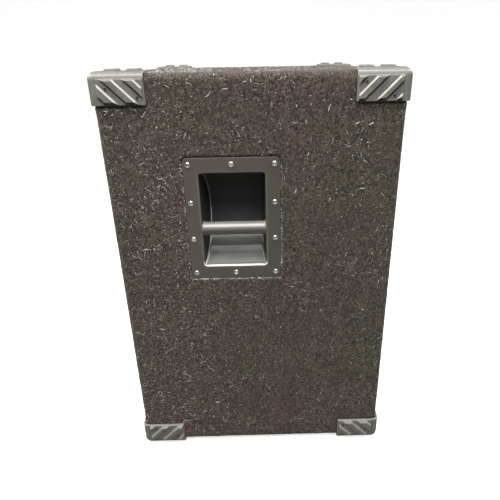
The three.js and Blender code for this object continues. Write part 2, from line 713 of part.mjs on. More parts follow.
const SOCKET_X = 27;
const SOCKET_BODY = 11.7;
const DISH_FLOOR = WOOD_Y + INPUT.sheet - INPUT.dishDepth;

function inputPlate() {
  const plate = frontPlate(roundedRectangle(INPUT.width, INPUT.height, INPUT.radius), INPUT.sheet)
    .translate(0, WOOD_Y, INPUT_Z);
  const halfW = INPUT.dishWidth / 2;
  const halfH = INPUT.dishHeight / 2;
  const outside = box(
    [-halfW - INPUT.sheet, halfW + INPUT.sheet],
    [DISH_FLOOR - INPUT.sheet, WOOD_Y + 1],
    [INPUT_Z - halfH - INPUT.sheet, INPUT_Z + halfH + INPUT.sheet],
  );
  const inside = box([-halfW, halfW], [DISH_FLOOR, DEPTH], [INPUT_Z - halfH, INPUT_Z + halfH]);
  const holes = [-SOCKET_X, SOCKET_X].map((x) =>
    disc(SOCKET_BODY + 2 * GAP, DISH_FLOOR - 10, DISH_FLOOR + 5).translate(x, 0, INPUT_Z));
  return geometryOf(cutAll(solid(plate).add(solid(outside)), [inside, ...holes].map(solid)));
}

part('input_plate', inputPlate(), ...BLACK_STEEL);

// Twist-lock loudspeaker socket: a flange, a body behind the plate, a ring-shaped well and a core.
for (const [side, sideName] of [[1, 'right'], [-1, 'left']]) {
  const socket = turned([
    [0, -20], [SOCKET_BODY, -20], [SOCKET_BODY, 0], [15, 0], [15, 2.5],
    [11, 2.5], [11, -12], [5, -12], [5, 0.5], [0, 0.5],
  ]);
  socket.translate(side * SOCKET_X, DISH_FLOOR, INPUT_Z);
  part(`speaker_socket_${sideName}`, socket, ...TRIM_PLASTIC);
}

// A cup for a stand pole, let into the underside.
const cupTop = WOOD_Z[0] + POLE.depth;
const cupOuter = POLE.bore + POLE.wall;
const flangeUnder = WOOD_Z[0] - POLE.flangeThick;
const cup = turned([
  [0, cupTop], [POLE.bore, cupTop], [POLE.bore, flangeUnder], [POLE.flange, flangeUnder],
  [POLE.flange, WOOD_Z[0]], [cupOuter, WOOD_Z[0]],
  [cupOuter, cupTop + POLE.wall], [0, cupTop + POLE.wall],
]).rotateX(Math.PI / 2);
part('pole_socket', cup, ...BLACK_STEEL);

export default cabinet;
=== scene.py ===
"""A carpet-covered PA speaker cabinet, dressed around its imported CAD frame.

Shapes are worked out in millimetres in the CAD's frame (+Z up, grille towards -Y, origin on the floor)
and turned into metres when a mesh is made.
"""

import math

import bmesh
import bpy
import numpy as np
from mathutils import Matrix, Vector, noise


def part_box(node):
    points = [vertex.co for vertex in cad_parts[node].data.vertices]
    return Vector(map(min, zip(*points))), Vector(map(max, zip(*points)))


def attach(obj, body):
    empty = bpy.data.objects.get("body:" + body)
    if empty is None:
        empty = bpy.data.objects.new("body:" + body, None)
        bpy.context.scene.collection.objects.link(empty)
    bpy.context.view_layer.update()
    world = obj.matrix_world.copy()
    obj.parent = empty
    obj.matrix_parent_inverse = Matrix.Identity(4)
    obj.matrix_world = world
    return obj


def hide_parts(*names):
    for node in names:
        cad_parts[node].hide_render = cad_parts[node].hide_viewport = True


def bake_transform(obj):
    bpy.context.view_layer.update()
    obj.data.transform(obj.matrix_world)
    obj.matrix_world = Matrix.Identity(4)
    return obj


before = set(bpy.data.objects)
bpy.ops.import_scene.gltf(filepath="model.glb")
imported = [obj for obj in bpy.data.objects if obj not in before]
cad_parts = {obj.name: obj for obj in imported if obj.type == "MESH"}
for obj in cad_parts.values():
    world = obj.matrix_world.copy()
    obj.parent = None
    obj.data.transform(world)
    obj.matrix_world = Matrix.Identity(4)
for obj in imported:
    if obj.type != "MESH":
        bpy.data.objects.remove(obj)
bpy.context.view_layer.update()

MM = 0.001
BODY = "cabinet"
WELD = 1e-3  # points of a piece closer than this are one point
SHORTEST_EDGE = 1e-7  # in metres


def box_mm(node):
    low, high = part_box(node)
    return np.array(low) / MM, np.array(high) / MM


# ------------------------------------------------------------------ sizes read from the frame

CARPET_LOW, CARPET_HIGH = box_mm("carpet_cover")
PLATE_LOW, PLATE_HIGH = box_mm("handle_pan_right")
BAR_LOW, BAR_HIGH = box_mm("handle_bar_right")
GRILLE_LOW, GRILLE_HIGH = box_mm("front_grille")
INPUT_LOW, INPUT_HIGH = box_mm("input_plate")
POLE_LOW, POLE_HIGH = box_mm("pole_socket")
WOOFER_LOW, WOOFER_HIGH = box_mm("woofer_basket")
HORN_LOW, HORN_HIGH = box_mm("horn_flare")

EDGE_RADIUS = 12.0  # of the carpeted box and of the guards
CARPET_THICK = 3.0
BAFFLE_FRONT = box_mm("baffle_board")[0][1]

GUARD_PROUD = 4.0  # the guard's skin, above the carpet
GUARD_LONG = 82.0
GUARD_SHORT = 47.3
RIB_TOP = 4.0  # this and the next two are above the skin
PAD_TOP = 3.0
GROOVE_FLOOR = 0.7

PLATE_FRONT = PLATE_HIGH[0]
PLATE_CENTRE = (PLATE_LOW + PLATE_HIGH) / 2
PLATE_HALF = (PLATE_HIGH - PLATE_LOW)[1:] / 2
PLATE_RADIUS = 7.5
MOUTH_HALF = np.array([52.5, 79.0])
SCOOP_FILLET = 5.0
LIP = 2.4
DRAFT = math.tan(math.radians(4.5))
LIP_HIGHLIGHT_HALF = (58.0, 84.0)  # half sizes of the area round the mouth whose up-facing edges get a painted highlight
TO_CM = 100.0  # from a shader's metres


# ------------------------------------------------------------------ mesh helpers


def link(obj):
    bpy.context.scene.collection.objects.link(obj)
    return obj


def raw_mesh(name, verts, faces):
    mesh = bpy.data.meshes.new(name)
    mesh.from_pydata(np.asarray(verts, float).tolist(), [], [list(map(int, f)) for f in faces])
    return mesh


def clean_mesh(mesh, weld, shortest=None):
    """Merges points closer than weld, drops edges shorter than shortest, and turns the faces outwards."""
    bm = bmesh.new()
    bm.from_mesh(mesh)
    bmesh.ops.remove_doubles(bm, verts=bm.verts, dist=weld)
    if shortest:
        bmesh.ops.dissolve_degenerate(bm, dist=shortest, edges=bm.edges)
    bmesh.ops.recalc_face_normals(bm, faces=bm.faces)
    bm.to_mesh(mesh)
    bm.free()


def make_piece(name, verts, faces, material, body=BODY, sharp=40, mirror_x=False):
    """A smooth-shaded mesh object from points in millimetres, riding on a CAD body."""
    points = np.asarray(verts, float) * MM
    if mirror_x:
        points = points * np.array([-1.0, 1.0, 1.0])
    mesh = raw_mesh(name, points, faces)
    clean_mesh(mesh, WELD * MM, SHORTEST_EDGE)
    obj = link(bpy.data.objects.new(name, mesh))
    finish_piece(obj, material, body, sharp)
    return obj


def finish_piece(obj, material, body=BODY, sharp=40):
    """Smooth shading with creases past an angle in degrees, a named material, and the body it rides on."""
    mesh = obj.data
    mesh.polygons.foreach_set("use_smooth", [True] * len(mesh.polygons))
    mesh.set_sharp_from_angle(angle=math.radians(sharp))
    mesh.materials.clear()
    mesh.materials.append(MATERIALS[material])
    if body:
        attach(obj, body)


def dressed(piece, nodes):
    """Hides the CAD nodes that a piece stands for, if any."""
    if nodes:
        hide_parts(*nodes)


def apply_modifiers(obj):
    """Replaces the object's mesh with its evaluated one and drops the modifiers."""
    graph = bpy.context.evaluated_depsgraph_get()
    mesh = bpy.data.meshes.new_from_object(obj.evaluated_get(graph))
    obj.modifiers.clear()
    old = obj.data
    obj.data = mesh
    bpy.data.meshes.remove(old)


def make_sheet_solid(obj, axis, sign, thick, material, sharp):
    """Turns an open sheet's faces out along an axis, then thickens it inwards."""
    front = max(obj.data.polygons, key=lambda p: p.center[axis] * sign * 1e3 + p.area)
    if front.normal[axis] * sign < 0:
        obj.data.flip_normals()
    thicken = obj.modifiers.new("sheet", "SOLIDIFY")
    thicken.thickness = thick * MM
    thicken.offset = -1
    apply_modifiers(obj)
    finish_piece(obj, material, sharp=sharp)


def skin(rings, cap_start=False, cap_end=False):
    """Quads between successive closed rings of equally many points."""
    rings = [np.asarray(r, float) for r in rings]
    n = len(rings[0])
    verts = np.concatenate(rings)
    faces = []
    for i in range(len(rings) - 1):
        for j in range(n):
            k = (j + 1) % n
            faces.append((i * n + j, i * n + k, (i + 1) * n + k, (i + 1) * n + j))
    if cap_start:
        faces.append(tuple(range(n))[::-1])
    if cap_end:
        faces.append(tuple((len(rings) - 1) * n + j for j in range(n)))
    return verts, faces


def join_parts(parts):
    """One vertex and face list from several (verts, faces) pairs."""
    verts, faces, offset = [], [], 0
    for v, f in parts:
        v = np.asarray(v, float)
        verts.append(v)
        faces.extend(tuple(i + offset for i in face) for face in f)
        offset += len(v)
    return np.concatenate(verts), faces


def lathe(profile, centre, axis="y", segments=64):
    """A turned skin: profile points are [radius, distance along the axis]."""
    rings = []
    for radius, along in profile:
        a = np.linspace(0, 2 * math.pi, segments, endpoint=False)
        c, s = radius * np.cos(a), radius * np.sin(a)
        t = np.full(segments, float(along))
        rings.append({"x": np.c_[t, c, s], "y": np.c_[s, t, c], "z": np.c_[c, s, t]}[axis])
    verts, faces = skin(rings)
    return verts + np.asarray(centre, float), faces


def rounded_loop(half_w, half_h, radius, n_w, n_h, k):
    """Points round a rounded rectangle from its lower left corner, anticlockwise.

    Each horizontal side takes n_w steps and each vertical side n_h. Of these, the k at either end are
    half a corner.
    """
    points = []
    corners = [(-1, -1, 225), (1, -1, 315), (1, 1, 45), (-1, 1, 135)]
    for side in range(4):
        sx, sy, angle = corners[side]
        tx, ty, _ = corners[(side + 1) % 4]
        centre = np.array([sx * (half_w - radius), sy * (half_h - radius)])
        target = np.array([tx * (half_w - radius), ty * (half_h - radius)])
        straight = (n_w if side % 2 == 0 else n_h) - 2 * k
        for i in range(k):
            t = math.radians(angle + 45 * i / k)
            points.append(centre + radius * np.array([math.cos(t), math.sin(t)]))
        t = math.radians(angle + 45)
        step = radius * np.array([math.cos(t), math.sin(t)])
        for i in range(straight):
            points.append(centre + (target - centre) * i / straight + step)
        for i in range(k):
            t = math.radians(angle + 45 + 45 * i / k)
            points.append(target + radius * np.array([math.cos(t), math.sin(t)]))
    return np.array(points)


def on_side(depth, loop, centre):
    """A loop of (y, z) offsets as points at a depth behind the handle plate's front face."""
    x = np.full(len(loop), PLATE_FRONT) - depth
    return np.c_[x, centre[0] + loop[:, 0], centre[1] + loop[:, 1]]


# ------------------------------------------------------------------ material helpers


class Finish:
    """One procedural material: a Principled shader and the nodes that feed it."""

    def __init__(self, name, roughness=0.5, metallic=0.0):
        self.material = bpy.data.materials.new(name)
        self.material.use_nodes = True
        self.tree = self.material.node_tree
        self.bsdf = self.tree.nodes["Principled BSDF"]
        self.set("Roughness", roughness)
        self.set("Metallic", metallic)
        self.coords = self.tree.nodes.new("ShaderNodeTexCoord").outputs["Object"]

    def set(self, name, value):
        self.feed(self.bsdf.inputs[name], value)

    def feed(self, socket, value):
        if isinstance(value, bpy.types.NodeSocket):
            self.tree.links.new(value, socket)
        else:
            socket.default_value = value

    def noise(self, scale, detail=2.0, distortion=0.0, stretch=None, rough=0.5):
        vector = self.coords
        if stretch:
            mapping = self.tree.nodes.new("ShaderNodeMapping")
            mapping.inputs["Scale"].default_value = stretch
            self.feed(mapping.inputs["Vector"], vector)
            vector = mapping.outputs["Vector"]
        node = self.tree.nodes.new("ShaderNodeTexNoise")
        self.feed(node.inputs["Vector"], vector)
        node.inputs["Scale"].default_value = scale
        node.inputs["Detail"].default_value = detail
        node.inputs["Roughness"].default_value = rough
        node.inputs["Distortion"].default_value = distortion
        return node.outputs["Fac"]

    def cell_edges(self, scale):
        """Distance to the nearest edge between random cells."""
        node = self.tree.nodes.new("ShaderNodeTexVoronoi")
        node.feature = "DISTANCE_TO_EDGE"
        self.feed(node.inputs["Vector"], self.coords)
        node.inputs["Scale"].default_value = scale
        return node.outputs["Distance"]

    def ramp(self, source, stops):
        """Maps a value through stops of (position, grey value or colour)."""
        node = self.tree.nodes.new("ShaderNodeValToRGB")
        elements = node.color_ramp.elements
        while len(elements) < len(stops):
            elements.new(0.5)
        for element, (position, value) in zip(elements, stops):
            element.position = position
            element.color = self.as_color(value)
        self.feed(node.inputs["Fac"], source)
        return node.outputs["Color"]

    def math(self, operation, a, b=0.0, clamp=False):
        node = self.tree.nodes.new("ShaderNodeMath")
        node.operation = operation
        node.use_clamp = clamp
        self.feed(node.inputs[0], a)
        self.feed(node.inputs[1], b)
        return node.outputs[0]

    def times(self, a, b):
        return self.math("MULTIPLY", a, b)

    def plus(self, a, b):
        return self.math("ADD", a, b)

    def minus(self, a, b):
        return self.math("SUBTRACT", a, b)

    def mix(self, factor, a, b, blend="MIX"):
        node = self.tree.nodes.new("ShaderNodeMix")
        node.data_type = "RGBA"
        node.blend_type = blend
        self.feed(node.inputs["Factor"], factor)
        for name, value in (("A", a), ("B", b)):
            socket = next(i for i in node.inputs if i.name == name and i.type == "RGBA")
            self.feed(socket, self.as_color(value))
        return next(o for o in node.outputs if o.type == "RGBA")

    @staticmethod
    def as_color(value):
        """A grey value, a colour or another node's output, as something a colour input takes."""
        if isinstance(value, bpy.types.NodeSocket):
            return value
        return (value, value, value, 1.0) if isinstance(value, (int, float)) else (*value, 1.0)

    def ridged(self, scale, detail=1.0, distortion=0.0, width=0.12):
        """Thin wandering lines, 1 on the line and 0 away from it."""
        n = self.noise(scale, detail, distortion)
        off = self.math("ABSOLUTE", self.minus(n, 0.5))
        return self.minus(1.0, self.math("DIVIDE", off, width, clamp=True))

    def bump(self, height, strength, distance_mm):
        node = self.tree.nodes.new("ShaderNodeBump")
        node.inputs["Strength"].default_value = strength
        node.inputs["Distance"].default_value = distance_mm * MM
        self.feed(node.inputs["Height"], height)
        self.set("Normal", node.outputs["Normal"])

    def split(self, vector):
        node = self.tree.nodes.new("ShaderNodeSeparateXYZ")
        self.feed(node.inputs[0], vector)
        return node.outputs

    def normal(self):
        """The surface normal's X, Y and Z."""
        return self.split(self.tree.nodes.new("ShaderNodeNewGeometry").outputs["Normal"])

    def facing_up(self):
        """The surface normal's upward part, from 0 facing down to 1 facing up."""
        return self.times(self.plus(self.normal()["Z"], 1.0), 0.5)

    def edge_wear(self):
        """Higher on convex edges of a finely meshed piece."""
        return self.tree.nodes.new("ShaderNodeNewGeometry").outputs["Pointiness"]


# ------------------------------------------------------------------ materials


def carpet_finish():
    """Needled felt: dark pile, light curled fibres over dark gaps, faint green and purple drifts."""
    f = Finish("carpet", roughness=1.0)
    felt = f.noise(250, detail=2.0, distortion=0.9, rough=0.65)
    curls = f.ridged(150, detail=2.0, distortion=1.6, width=0.035)
    fine_curls = f.ridged(260, detail=1.5, distortion=1.2, width=0.05)
    gaps = f.ridged(200, detail=1.5, distortion=1.0, width=0.07)
    patches = f.noise(16, detail=3.0, distortion=0.4)
    edge = f.ramp(f.math("ABSOLUTE", f.split(f.coords)["Y"]), [(0.15, 0.0), (0.22, 0.11)])
    tint = f.minus(f.noise(8, detail=1.0, distortion=0.8), f.minus(edge, 0.03))
    pile = [(0.42, (0.010, 0.007, 0.006)), (0.5, (0.031, 0.023, 0.017)), (0.60, (0.165, 0.130, 0.102))]
    base = f.ramp(felt, pile)
    warm = f.ramp(tint, [(0.35, (0.86, 1.04, 0.84)), (0.5, 1.0), (0.66, (1.10, 0.93, 1.03))])
    base = f.mix(1.0, base, warm, "MULTIPLY")
    height = f.split(f.coords)["Z"]
    fade = f.ramp(height, [(0.05, (1.10, 1.01, 0.92)), (0.65, (0.79, 0.735, 0.70))])
    base = f.mix(1.0, base, fade, "MULTIPLY")
    base = f.mix(f.times(gaps, 0.7), base, (0.012, 0.009, 0.008))
    base = f.mix(f.times(curls, 0.6), base, (0.30, 0.265, 0.225))
    base = f.mix(f.times(fine_curls, 0.35), base, (0.22, 0.19, 0.16))
    base = f.mix(f.ramp(patches, [(0.35, 0.0), (0.7, 0.25)]), base, (0.040, 0.034, 0.029))
    f.set("Base Color", base)
    f.set("Sheen Weight", 0.15)
    f.set("Sheen Roughness", 0.6)
    f.set("Sheen Tint", (0.85, 0.80, 0.72, 1.0))
    f.set("Specular IOR Level", 0.15)
    relief = f.plus(f.times(felt, 0.7), f.times(curls, 0.35))
    f.bump(relief, 1.0, 3.0)
    return f.material


def fibre_finish(name, dark, light, scale=90):
    f = Finish(name, roughness=0.8)
    f.set("Base Color", f.ramp(f.noise(scale, 2.0), [(0.35, dark), (0.65, light)]))
    f.set("Sheen Weight", 0.3)
    return f.material


def guard_finish():
    """Moulded grey plastic: fine grain, scuffs, painted highlights on up-facing slopes, painted shade on pad
    sides and undersides.
    """
    f = Finish("corner_plastic")
    grain = f.noise(1500, 2.0)
    blotch = f.noise(45, 4.0, 0.3)
    scratch = f.ridged(160, 2.0, 0.4, 0.018)
    color = f.ramp(blotch, [(0.3, (0.114, 0.110, 0.097)), (0.7, (0.155, 0.150, 0.132))])
    up = f.facing_up()
    # Painted highlight: slopes facing up, mostly the ribs' flanks, are painted pale.
    broken = f.times(f.ramp(f.noise(220, 3.0), [(0.25, 0.55), (0.5, 1.0)]), 0.85)
    slopes = [(0.60, 0.0), (0.74, 0.30), (0.78, 1.0), (0.812, 1.0), (0.84, 0.22), (0.97, 0.02)]
    painted_highlight = f.times(f.ramp(up, slopes), broken)
    flanks = f.ramp(f.math("ABSOLUTE", f.normal()["Y"]), [(0.1, 0.42), (0.4, 1.0)])
    color = f.mix(f.times(painted_highlight, flanks), color, (0.52, 0.505, 0.43))
    # Painted shade on the sides of the pads, just above the guard's skin.
    middle = (CARPET_LOW[2] + CARPET_HIGH[2]) / 2
    offset = f.math("ABSOLUTE", f.minus(f.split(f.coords)["Z"], middle * MM))
    above = f.minus(offset, (CARPET_HIGH[2] - middle + GUARD_PROUD) * MM)
    pads = f.ramp(f.times(above, TO_CM), [(0.01, 0.0), (0.04, 0.8), (0.18, 0.5), (0.28, 0.0)])
    color = f.mix(pads, color, (0.030, 0.028, 0.025))
    # Painted shade: surfaces that face down are painted near black.
    color = f.mix(f.ramp(up, [(0.28, 1.0), (0.40, 0.0)]), color, (0.006, 0.006, 0.005))
    worn = f.ramp(f.edge_wear(), [(0.50, 0.0), (0.58, 0.45)])
    color = f.mix(worn, color, (0.40, 0.39, 0.365))
    color = f.mix(f.times(scratch, 0.35), color, (0.33, 0.325, 0.31))
    f.set("Base Color", color)
    f.set("Roughness", f.ramp(blotch, [(0.3, 0.42), (0.7, 0.56)]))
    f.set("Specular IOR Level", 0.36)
    f.bump(f.plus(grain, f.times(scratch, -1.0)), 0.18, 0.25)
    return f.material


def painted_steel(name, dark, light, rough=(0.30, 0.44), grain=900, bump=0.12):
    """Satin powder coat with a fine orange peel and faint smears."""
    f = Finish(name)
    peel = f.noise(grain, 2.0)
    smear = f.noise(14, 4.0, 1.2, stretch=(1.0, 1.0, 0.4))
    f.set("Base Color", f.ramp(smear, [(0.3, dark), (0.7, light)]))
    f.set("Roughness", f.ramp(smear, [(0.25, rough[0]), (0.75, rough[1])]))
    f.set("Coat Weight", 0.15)
    f.set("Coat Roughness", 0.22)
    f.bump(peel, bump, 0.2)
    return f.material


def handle_finish():
    """Black satin paint with brown and olive drifts on the plate; in the scoop painted shade, painted light
    bands and shadow, dusty streaks, and painted highlights.
    """
    f = Finish("handle_steel")
    drift = f.noise(9, 3.0, 0.8)
    place = f.split(f.coords)
    along = f.times(f.minus(place["Y"], PLATE_CENTRE[1] * MM), 3.0)
    down = f.times(f.minus(PLATE_CENTRE[2] * MM, place["Z"]), 2.5)
    blend = f.plus(f.plus(along, down), f.times(drift, 0.9))
    color = f.ramp(blend, [(0.20, (0.082, 0.066, 0.056)), (0.75, (0.056, 0.055, 0.038))])
    depth = f.minus(PLATE_FRONT * MM, f.math("ABSOLUTE", place["X"]))
    inside = f.ramp(f.times(depth, TO_CM), [(0.15, 0.0), (0.40, 1.0)])
    # Painted shade: the scoop is painted near black, darker than the plate around it.
    color = f.mix(inside, color, (0.022, 0.023, 0.021))
    # Painted light: the scoop is painted lighter towards its bottom, which faces up to the light.
    drop = f.plus(f.times(down, 2.0), 0.5)
    painted_scoop_light = f.times(inside, f.ramp(drop, [(0.30, 0.0), (0.46, 0.5)]))
    color = f.mix(painted_scoop_light, color, (0.050, 0.053, 0.050))
    # Dusty streaks mixed with painted light: bright reflection bands and the bar's painted shadow on
    # up-facing parts of the scoop.
    streaks = f.noise(70, 3.0, 0.4, stretch=(1.0, 0.12, 1.0))
    bands = [(0.66, 0.0), (0.81, 0.38), (0.835, 0.05), (0.893, 0.07)]
    bands += [(0.904, 1.0), (0.925, 0.8), (0.945, 0.27), (1.0, 0.25)]
    facing = f.ramp(f.facing_up(), bands)
    dust_and_painted_light = f.times(f.times(facing, inside), f.ramp(streaks, [(0.35, 0.55), (0.6, 1.0)]))
    color = f.mix(dust_and_painted_light, color, (0.66, 0.645, 0.59))
    # Painted highlight along the crease where the scoop's back meets its side wall, stronger lower down.
    aside = f.minus(PLATE_CENTRE[1] * MM, place["Y"])
    low = f.ramp(drop, [(0.35, 0.25), (0.60, 1.0)])
    wall = f.minus((MOUTH_HALF[0] + LIP * DRAFT) * MM, f.times(depth, DRAFT))
    inset = f.times(f.minus(wall, aside), TO_CM)
    painted_crease_light = f.times(f.ramp(inset, [(0.02, 0.0), (0.05, 1.0), (0.16, 1.0), (0.24, 0.0)]), inside)
    color = f.mix(f.times(painted_crease_light, low), color, (0.62, 0.61, 0.56))
    # Painted highlight on the lip: convex edges near the mouth that face up are painted almost white.
    near = []
    for axis, centre, half in zip("YZ", PLATE_CENTRE[1:], LIP_HIGHLIGHT_HALF):
        apart = f.math("ABSOLUTE", f.minus(place[axis], centre * MM))
        near.append(f.math("LESS_THAN", apart, half * MM))
    lip = f.times(f.ramp(f.edge_wear(), [(0.505, 0.0), (0.520, 1.0)]), f.times(*near))
    lit = f.ramp(f.facing_up(), [(0.50, 0.05), (0.60, 1.0)])
    color = f.mix(f.times(lip, lit), color, (0.95, 0.94, 0.88))
    f.set("Base Color", color)
    satin = f.ramp(drift, [(0.25, 0.34), (0.75, 0.46)])
    f.set("Roughness", f.mix(inside, satin, 0.58))
    f.set("Coat Weight", f.times(f.minus(1.0, inside), 0.35))
    f.set("Coat Roughness", 0.25)
    f.bump(f.noise(900, 2.0), 0.12, 0.2)
    return f.material


def grip_finish():
    """Satin paint on the grip bar, with a painted highlight along its top."""
    f = Finish("grip_steel")
    smear = f.noise(26, 3.0, 0.6, stretch=(1.0, 0.35, 1.0))
    # Painted highlight: the bar is painted paler the more it faces up.
    painted_top_light = [(0.40, (0.048, 0.047, 0.036)), (0.62, (0.13, 0.127, 0.105))]
    painted_top_light += [(0.80, (0.27, 0.262, 0.222)), (1.0, (0.20, 0.195, 0.165))]
    color = f.ramp(f.facing_up(), painted_top_light)
    color = f.mix(f.ramp(smear, [(0.35, 0.25), (0.6, 0.0)]), color, (0.060, 0.058, 0.048))
    f.set("Base Color", color)
    f.set("Roughness", f.ramp(smear, [(0.3, 0.30), (0.7, 0.40)]))
    f.set("Coat Weight", 0.5)
    f.set("Coat Roughness", 0.22)
    f.bump(f.noise(700, 2.0), 0.06, 0.2)
    return f.material


def metal(name, color, rough=(0.18, 0.35), scale=260, stretch=(1.0, 6.0, 1.0)):
    f = Finish(name, metallic=1.0)
    brush = f.noise(scale, 3.0, stretch=stretch)
    tarnish = f.noise(60, 3.0, 0.5)
    dull = tuple(0.72 * c for c in color)
    f.set("Base Color", f.ramp(tarnish, [(0.35, dull), (0.6, color)]))
    f.set("Roughness", f.ramp(brush, [(0.3, rough[0]), (0.7, rough[1])]))
    f.bump(brush, 0.08, 0.1)
    return f.material


def wood_finish(name, dark, light, paint=None):
    """Plywood: long grain streaks and pores, or the same under a thin coat of paint."""
    f = Finish(name, roughness=0.75)
    grain = f.noise(40, 5.0, 0.6, stretch=(1.0, 1.0, 0.08))
    pores = f.noise(600, 2.0, stretch=(1.0, 1.0, 0.15))
    color = f.ramp(grain, [(0.3, dark), (0.7, light)])
    color = f.mix(f.ramp(pores, [(0.35, 0.4), (0.5, 0.0)]), color, tuple(0.5 * c for c in dark))
    if paint:
        color = f.mix(0.93, color, paint)
    f.set("Base Color", color)
    f.set("Roughness", f.ramp(grain, [(0.3, 0.6), (0.7, 0.85)]))
    f.bump(f.plus(grain, pores), 0.2, 0.3)
    return f.material


def moulded(name, dark, light, rough=0.5, scale=1200):
    """Black moulded plastic or coated paper with a fine texture and faint colour drift."""
    f = Finish(name)
    texture = f.noise(scale, 2.0)
    drift = f.noise(30, 3.0)
    f.set("Base Color", f.ramp(drift, [(0.3, dark), (0.7, light)]))
    f.set("Roughness", f.ramp(drift, [(0.3, rough - 0.06), (0.7, rough + 0.08)]))
    f.bump(texture, 0.2, 0.3)
    return f.material


def woven(name, dark, light, scale=700):
    """Coated cloth: a crossed weave in the bump and in the colour."""
    f = Finish(name, roughness=0.85)
    across = f.noise(scale, 1.0, stretch=(1.0, 1.0, 0.15))
    along = f.noise(scale, 1.0, stretch=(0.15, 1.0, 1.0))
    weave = f.times(across, along)
    f.set("Base Color", f.ramp(weave, [(0.15, dark), (0.35, light)]))
    f.set("Sheen Weight", 0.2)
    f.bump(weave, 0.5, 0.5)
    return f.material


def circuit_board():
    f = Finish("circuit_board", roughness=0.4)
    tracks = f.cell_edges(90)
    mask = f.ramp(tracks, [(0.03, 1.0), (0.06, 0.0)])
    f.set("Base Color", f.mix(mask, (0.012, 0.075, 0.028), (0.03, 0.16, 0.06)))
    f.bump(mask, 0.2, 0.1)
    return f.material


RECIPES = [
    (fibre_finish, "carpet_fibres", (0.022, 0.017, 0.014), (0.17, 0.145, 0.12), 160),
    (fibre_finish, "carpet_tufts", (0.08, 0.068, 0.056), (0.46, 0.41, 0.35), 130),
    (fibre_finish, "lint", (0.42, 0.40, 0.36), (0.85, 0.83, 0.78), 50),
    (metal, "screw_steel", (0.92, 0.90, 0.86), (0.15, 0.30)),
    (metal, "black_screw", (0.10, 0.10, 0.10), (0.35, 0.5)),
    (metal, "motor_steel", (0.55, 0.54, 0.50), (0.3, 0.45)),
    (metal, "coil_copper", (0.80, 0.42, 0.22), (0.2, 0.3), 1500, (0.05, 1.0, 0.05)),
    (metal, "diaphragm_metal", (0.75, 0.75, 0.77), (0.15, 0.25)),
    (painted_steel, "grille_steel", 0.030, (0.042, 0.042, 0.041), (0.38, 0.5), 1400, 0.3),
    (painted_steel, "basket_steel", 0.02, 0.03),
    (painted_steel, "input_steel", 0.020, (0.030, 0.030, 0.029), (0.35, 0.5), 1200, 0.2),
    (moulded, "ferrite", (0.03, 0.03, 0.033), (0.05, 0.05, 0.055), 0.6, 500),
    (moulded, "cone_paper", (0.045, 0.044, 0.044), (0.070, 0.068, 0.066), 0.75, 800),
    (moulded, "dust_cap_paper", (0.016, 0.016, 0.017), (0.026, 0.026, 0.027), 0.5, 500),
    (moulded, "gasket_card", (0.030, 0.028, 0.026), (0.045, 0.042, 0.038), 0.8, 600),
    (moulded, "trim_plastic", 0.014, (0.024, 0.024, 0.023), 0.42),
    (moulded, "capacitor_sleeve", (0.02, 0.03, 0.08), (0.03, 0.045, 0.11), 0.35),
    (moulded, "ceramic", (0.55, 0.53, 0.48), (0.70, 0.68, 0.62), 0.8, 700),
    (moulded, "red_wire", (0.35, 0.02, 0.015), (0.45, 0.03, 0.02), 0.4),
    (moulded, "black_wire", 0.015, 0.025, 0.4),
    (woven, "surround_cloth", 0.012, (0.035, 0.034, 0.032)),
    (woven, "spider_cloth", (0.30, 0.18, 0.07), (0.50, 0.33, 0.15)),
    (wood_finish, "plywood", (0.42, 0.29, 0.16), (0.62, 0.46, 0.28)),
    (wood_finish, "baffle_paint", (0.42, 0.29, 0.16), (0.62, 0.46, 0.28), 0.006),
]
MATERIALS = {name: maker(name, *values) for maker, name, *values in RECIPES}
MATERIALS["carpet"] = carpet_finish()
MATERIALS["corner_plastic"] = guard_finish()
MATERIALS["handle_steel"] = handle_finish()
MATERIALS["grip_steel"] = grip_finish()
MATERIALS["circuit_board"] = circuit_board()


# ------------------------------------------------------------------ carpet


def spaced(stops, step):
    """Grid lines through all the stops, about one step apart."""
    stops = sorted(stops)
    lines = [stops[0]]
    for a, b in zip(stops, stops[1:]):
        n = max(1, round((b - a) / step))
        lines.extend(a + (b - a) * (i + 1) / n for i in range(n))
    return np.array(lines)


def end_stops(low, high, radius):
    """Stops across the rounded edges at both ends of a side."""
    offsets = [radius * (1 - math.tan(math.radians(t))) for t in (45, 36, 27, 18, 9, 0)]
    return [low + o for o in offsets] + [high - o for o in offsets]


def border_stops(at, outwards):
    """Close stops where the carpet dips under the edge of something."""
    return [at + outwards * d for d in (-4.0, -1.0, 0.5, 1.8, 3.2, 5.5, 9.0)]


def box_distance(points, centre, half, radius=0.0):
    """Signed distance from points to a rounded box or rectangle, negative inside."""
    q = np.abs(points - np.asarray(centre)) - (np.asarray(half) - radius)
    outside = np.linalg.norm(np.maximum(q, 0), axis=1)
    return outside + np.minimum(q.max(axis=1), 0) - radius


def pressed_edge(distance, sunk, puff):
    """Carpet height round something pressed into it: sunk beneath it, puffed up just outside."""
    t = np.clip(distance / 3.2, 0, 1)
    rise = t * t * (3 - 2 * t)
    bulge = puff * np.exp(-(((distance - 5.5) / 4.5) ** 2)) * (distance > 0)
    return -sunk * (1 - rise) + bulge


ON_FACE = 6.0  # a point this near a face's plane counts as on that face
FAR_OFF = 1e3
INPUT_RADIUS = 6.0  # corner radius of the input plate
POLE_CUT = 28.0  # half width of the carpet's square cut round the pole socket


def guard_distance(points):
    """Distance from points on the box to the nearest corner guard's footprint."""
    low, high = CARPET_LOW - GUARD_PROUD, CARPET_HIGH + GUARD_PROUD
    inwards = np.minimum(points - low, high - points)
    return box_distance(inwards, (0, 0, 0), (GUARD_SHORT, GUARD_LONG, GUARD_SHORT))


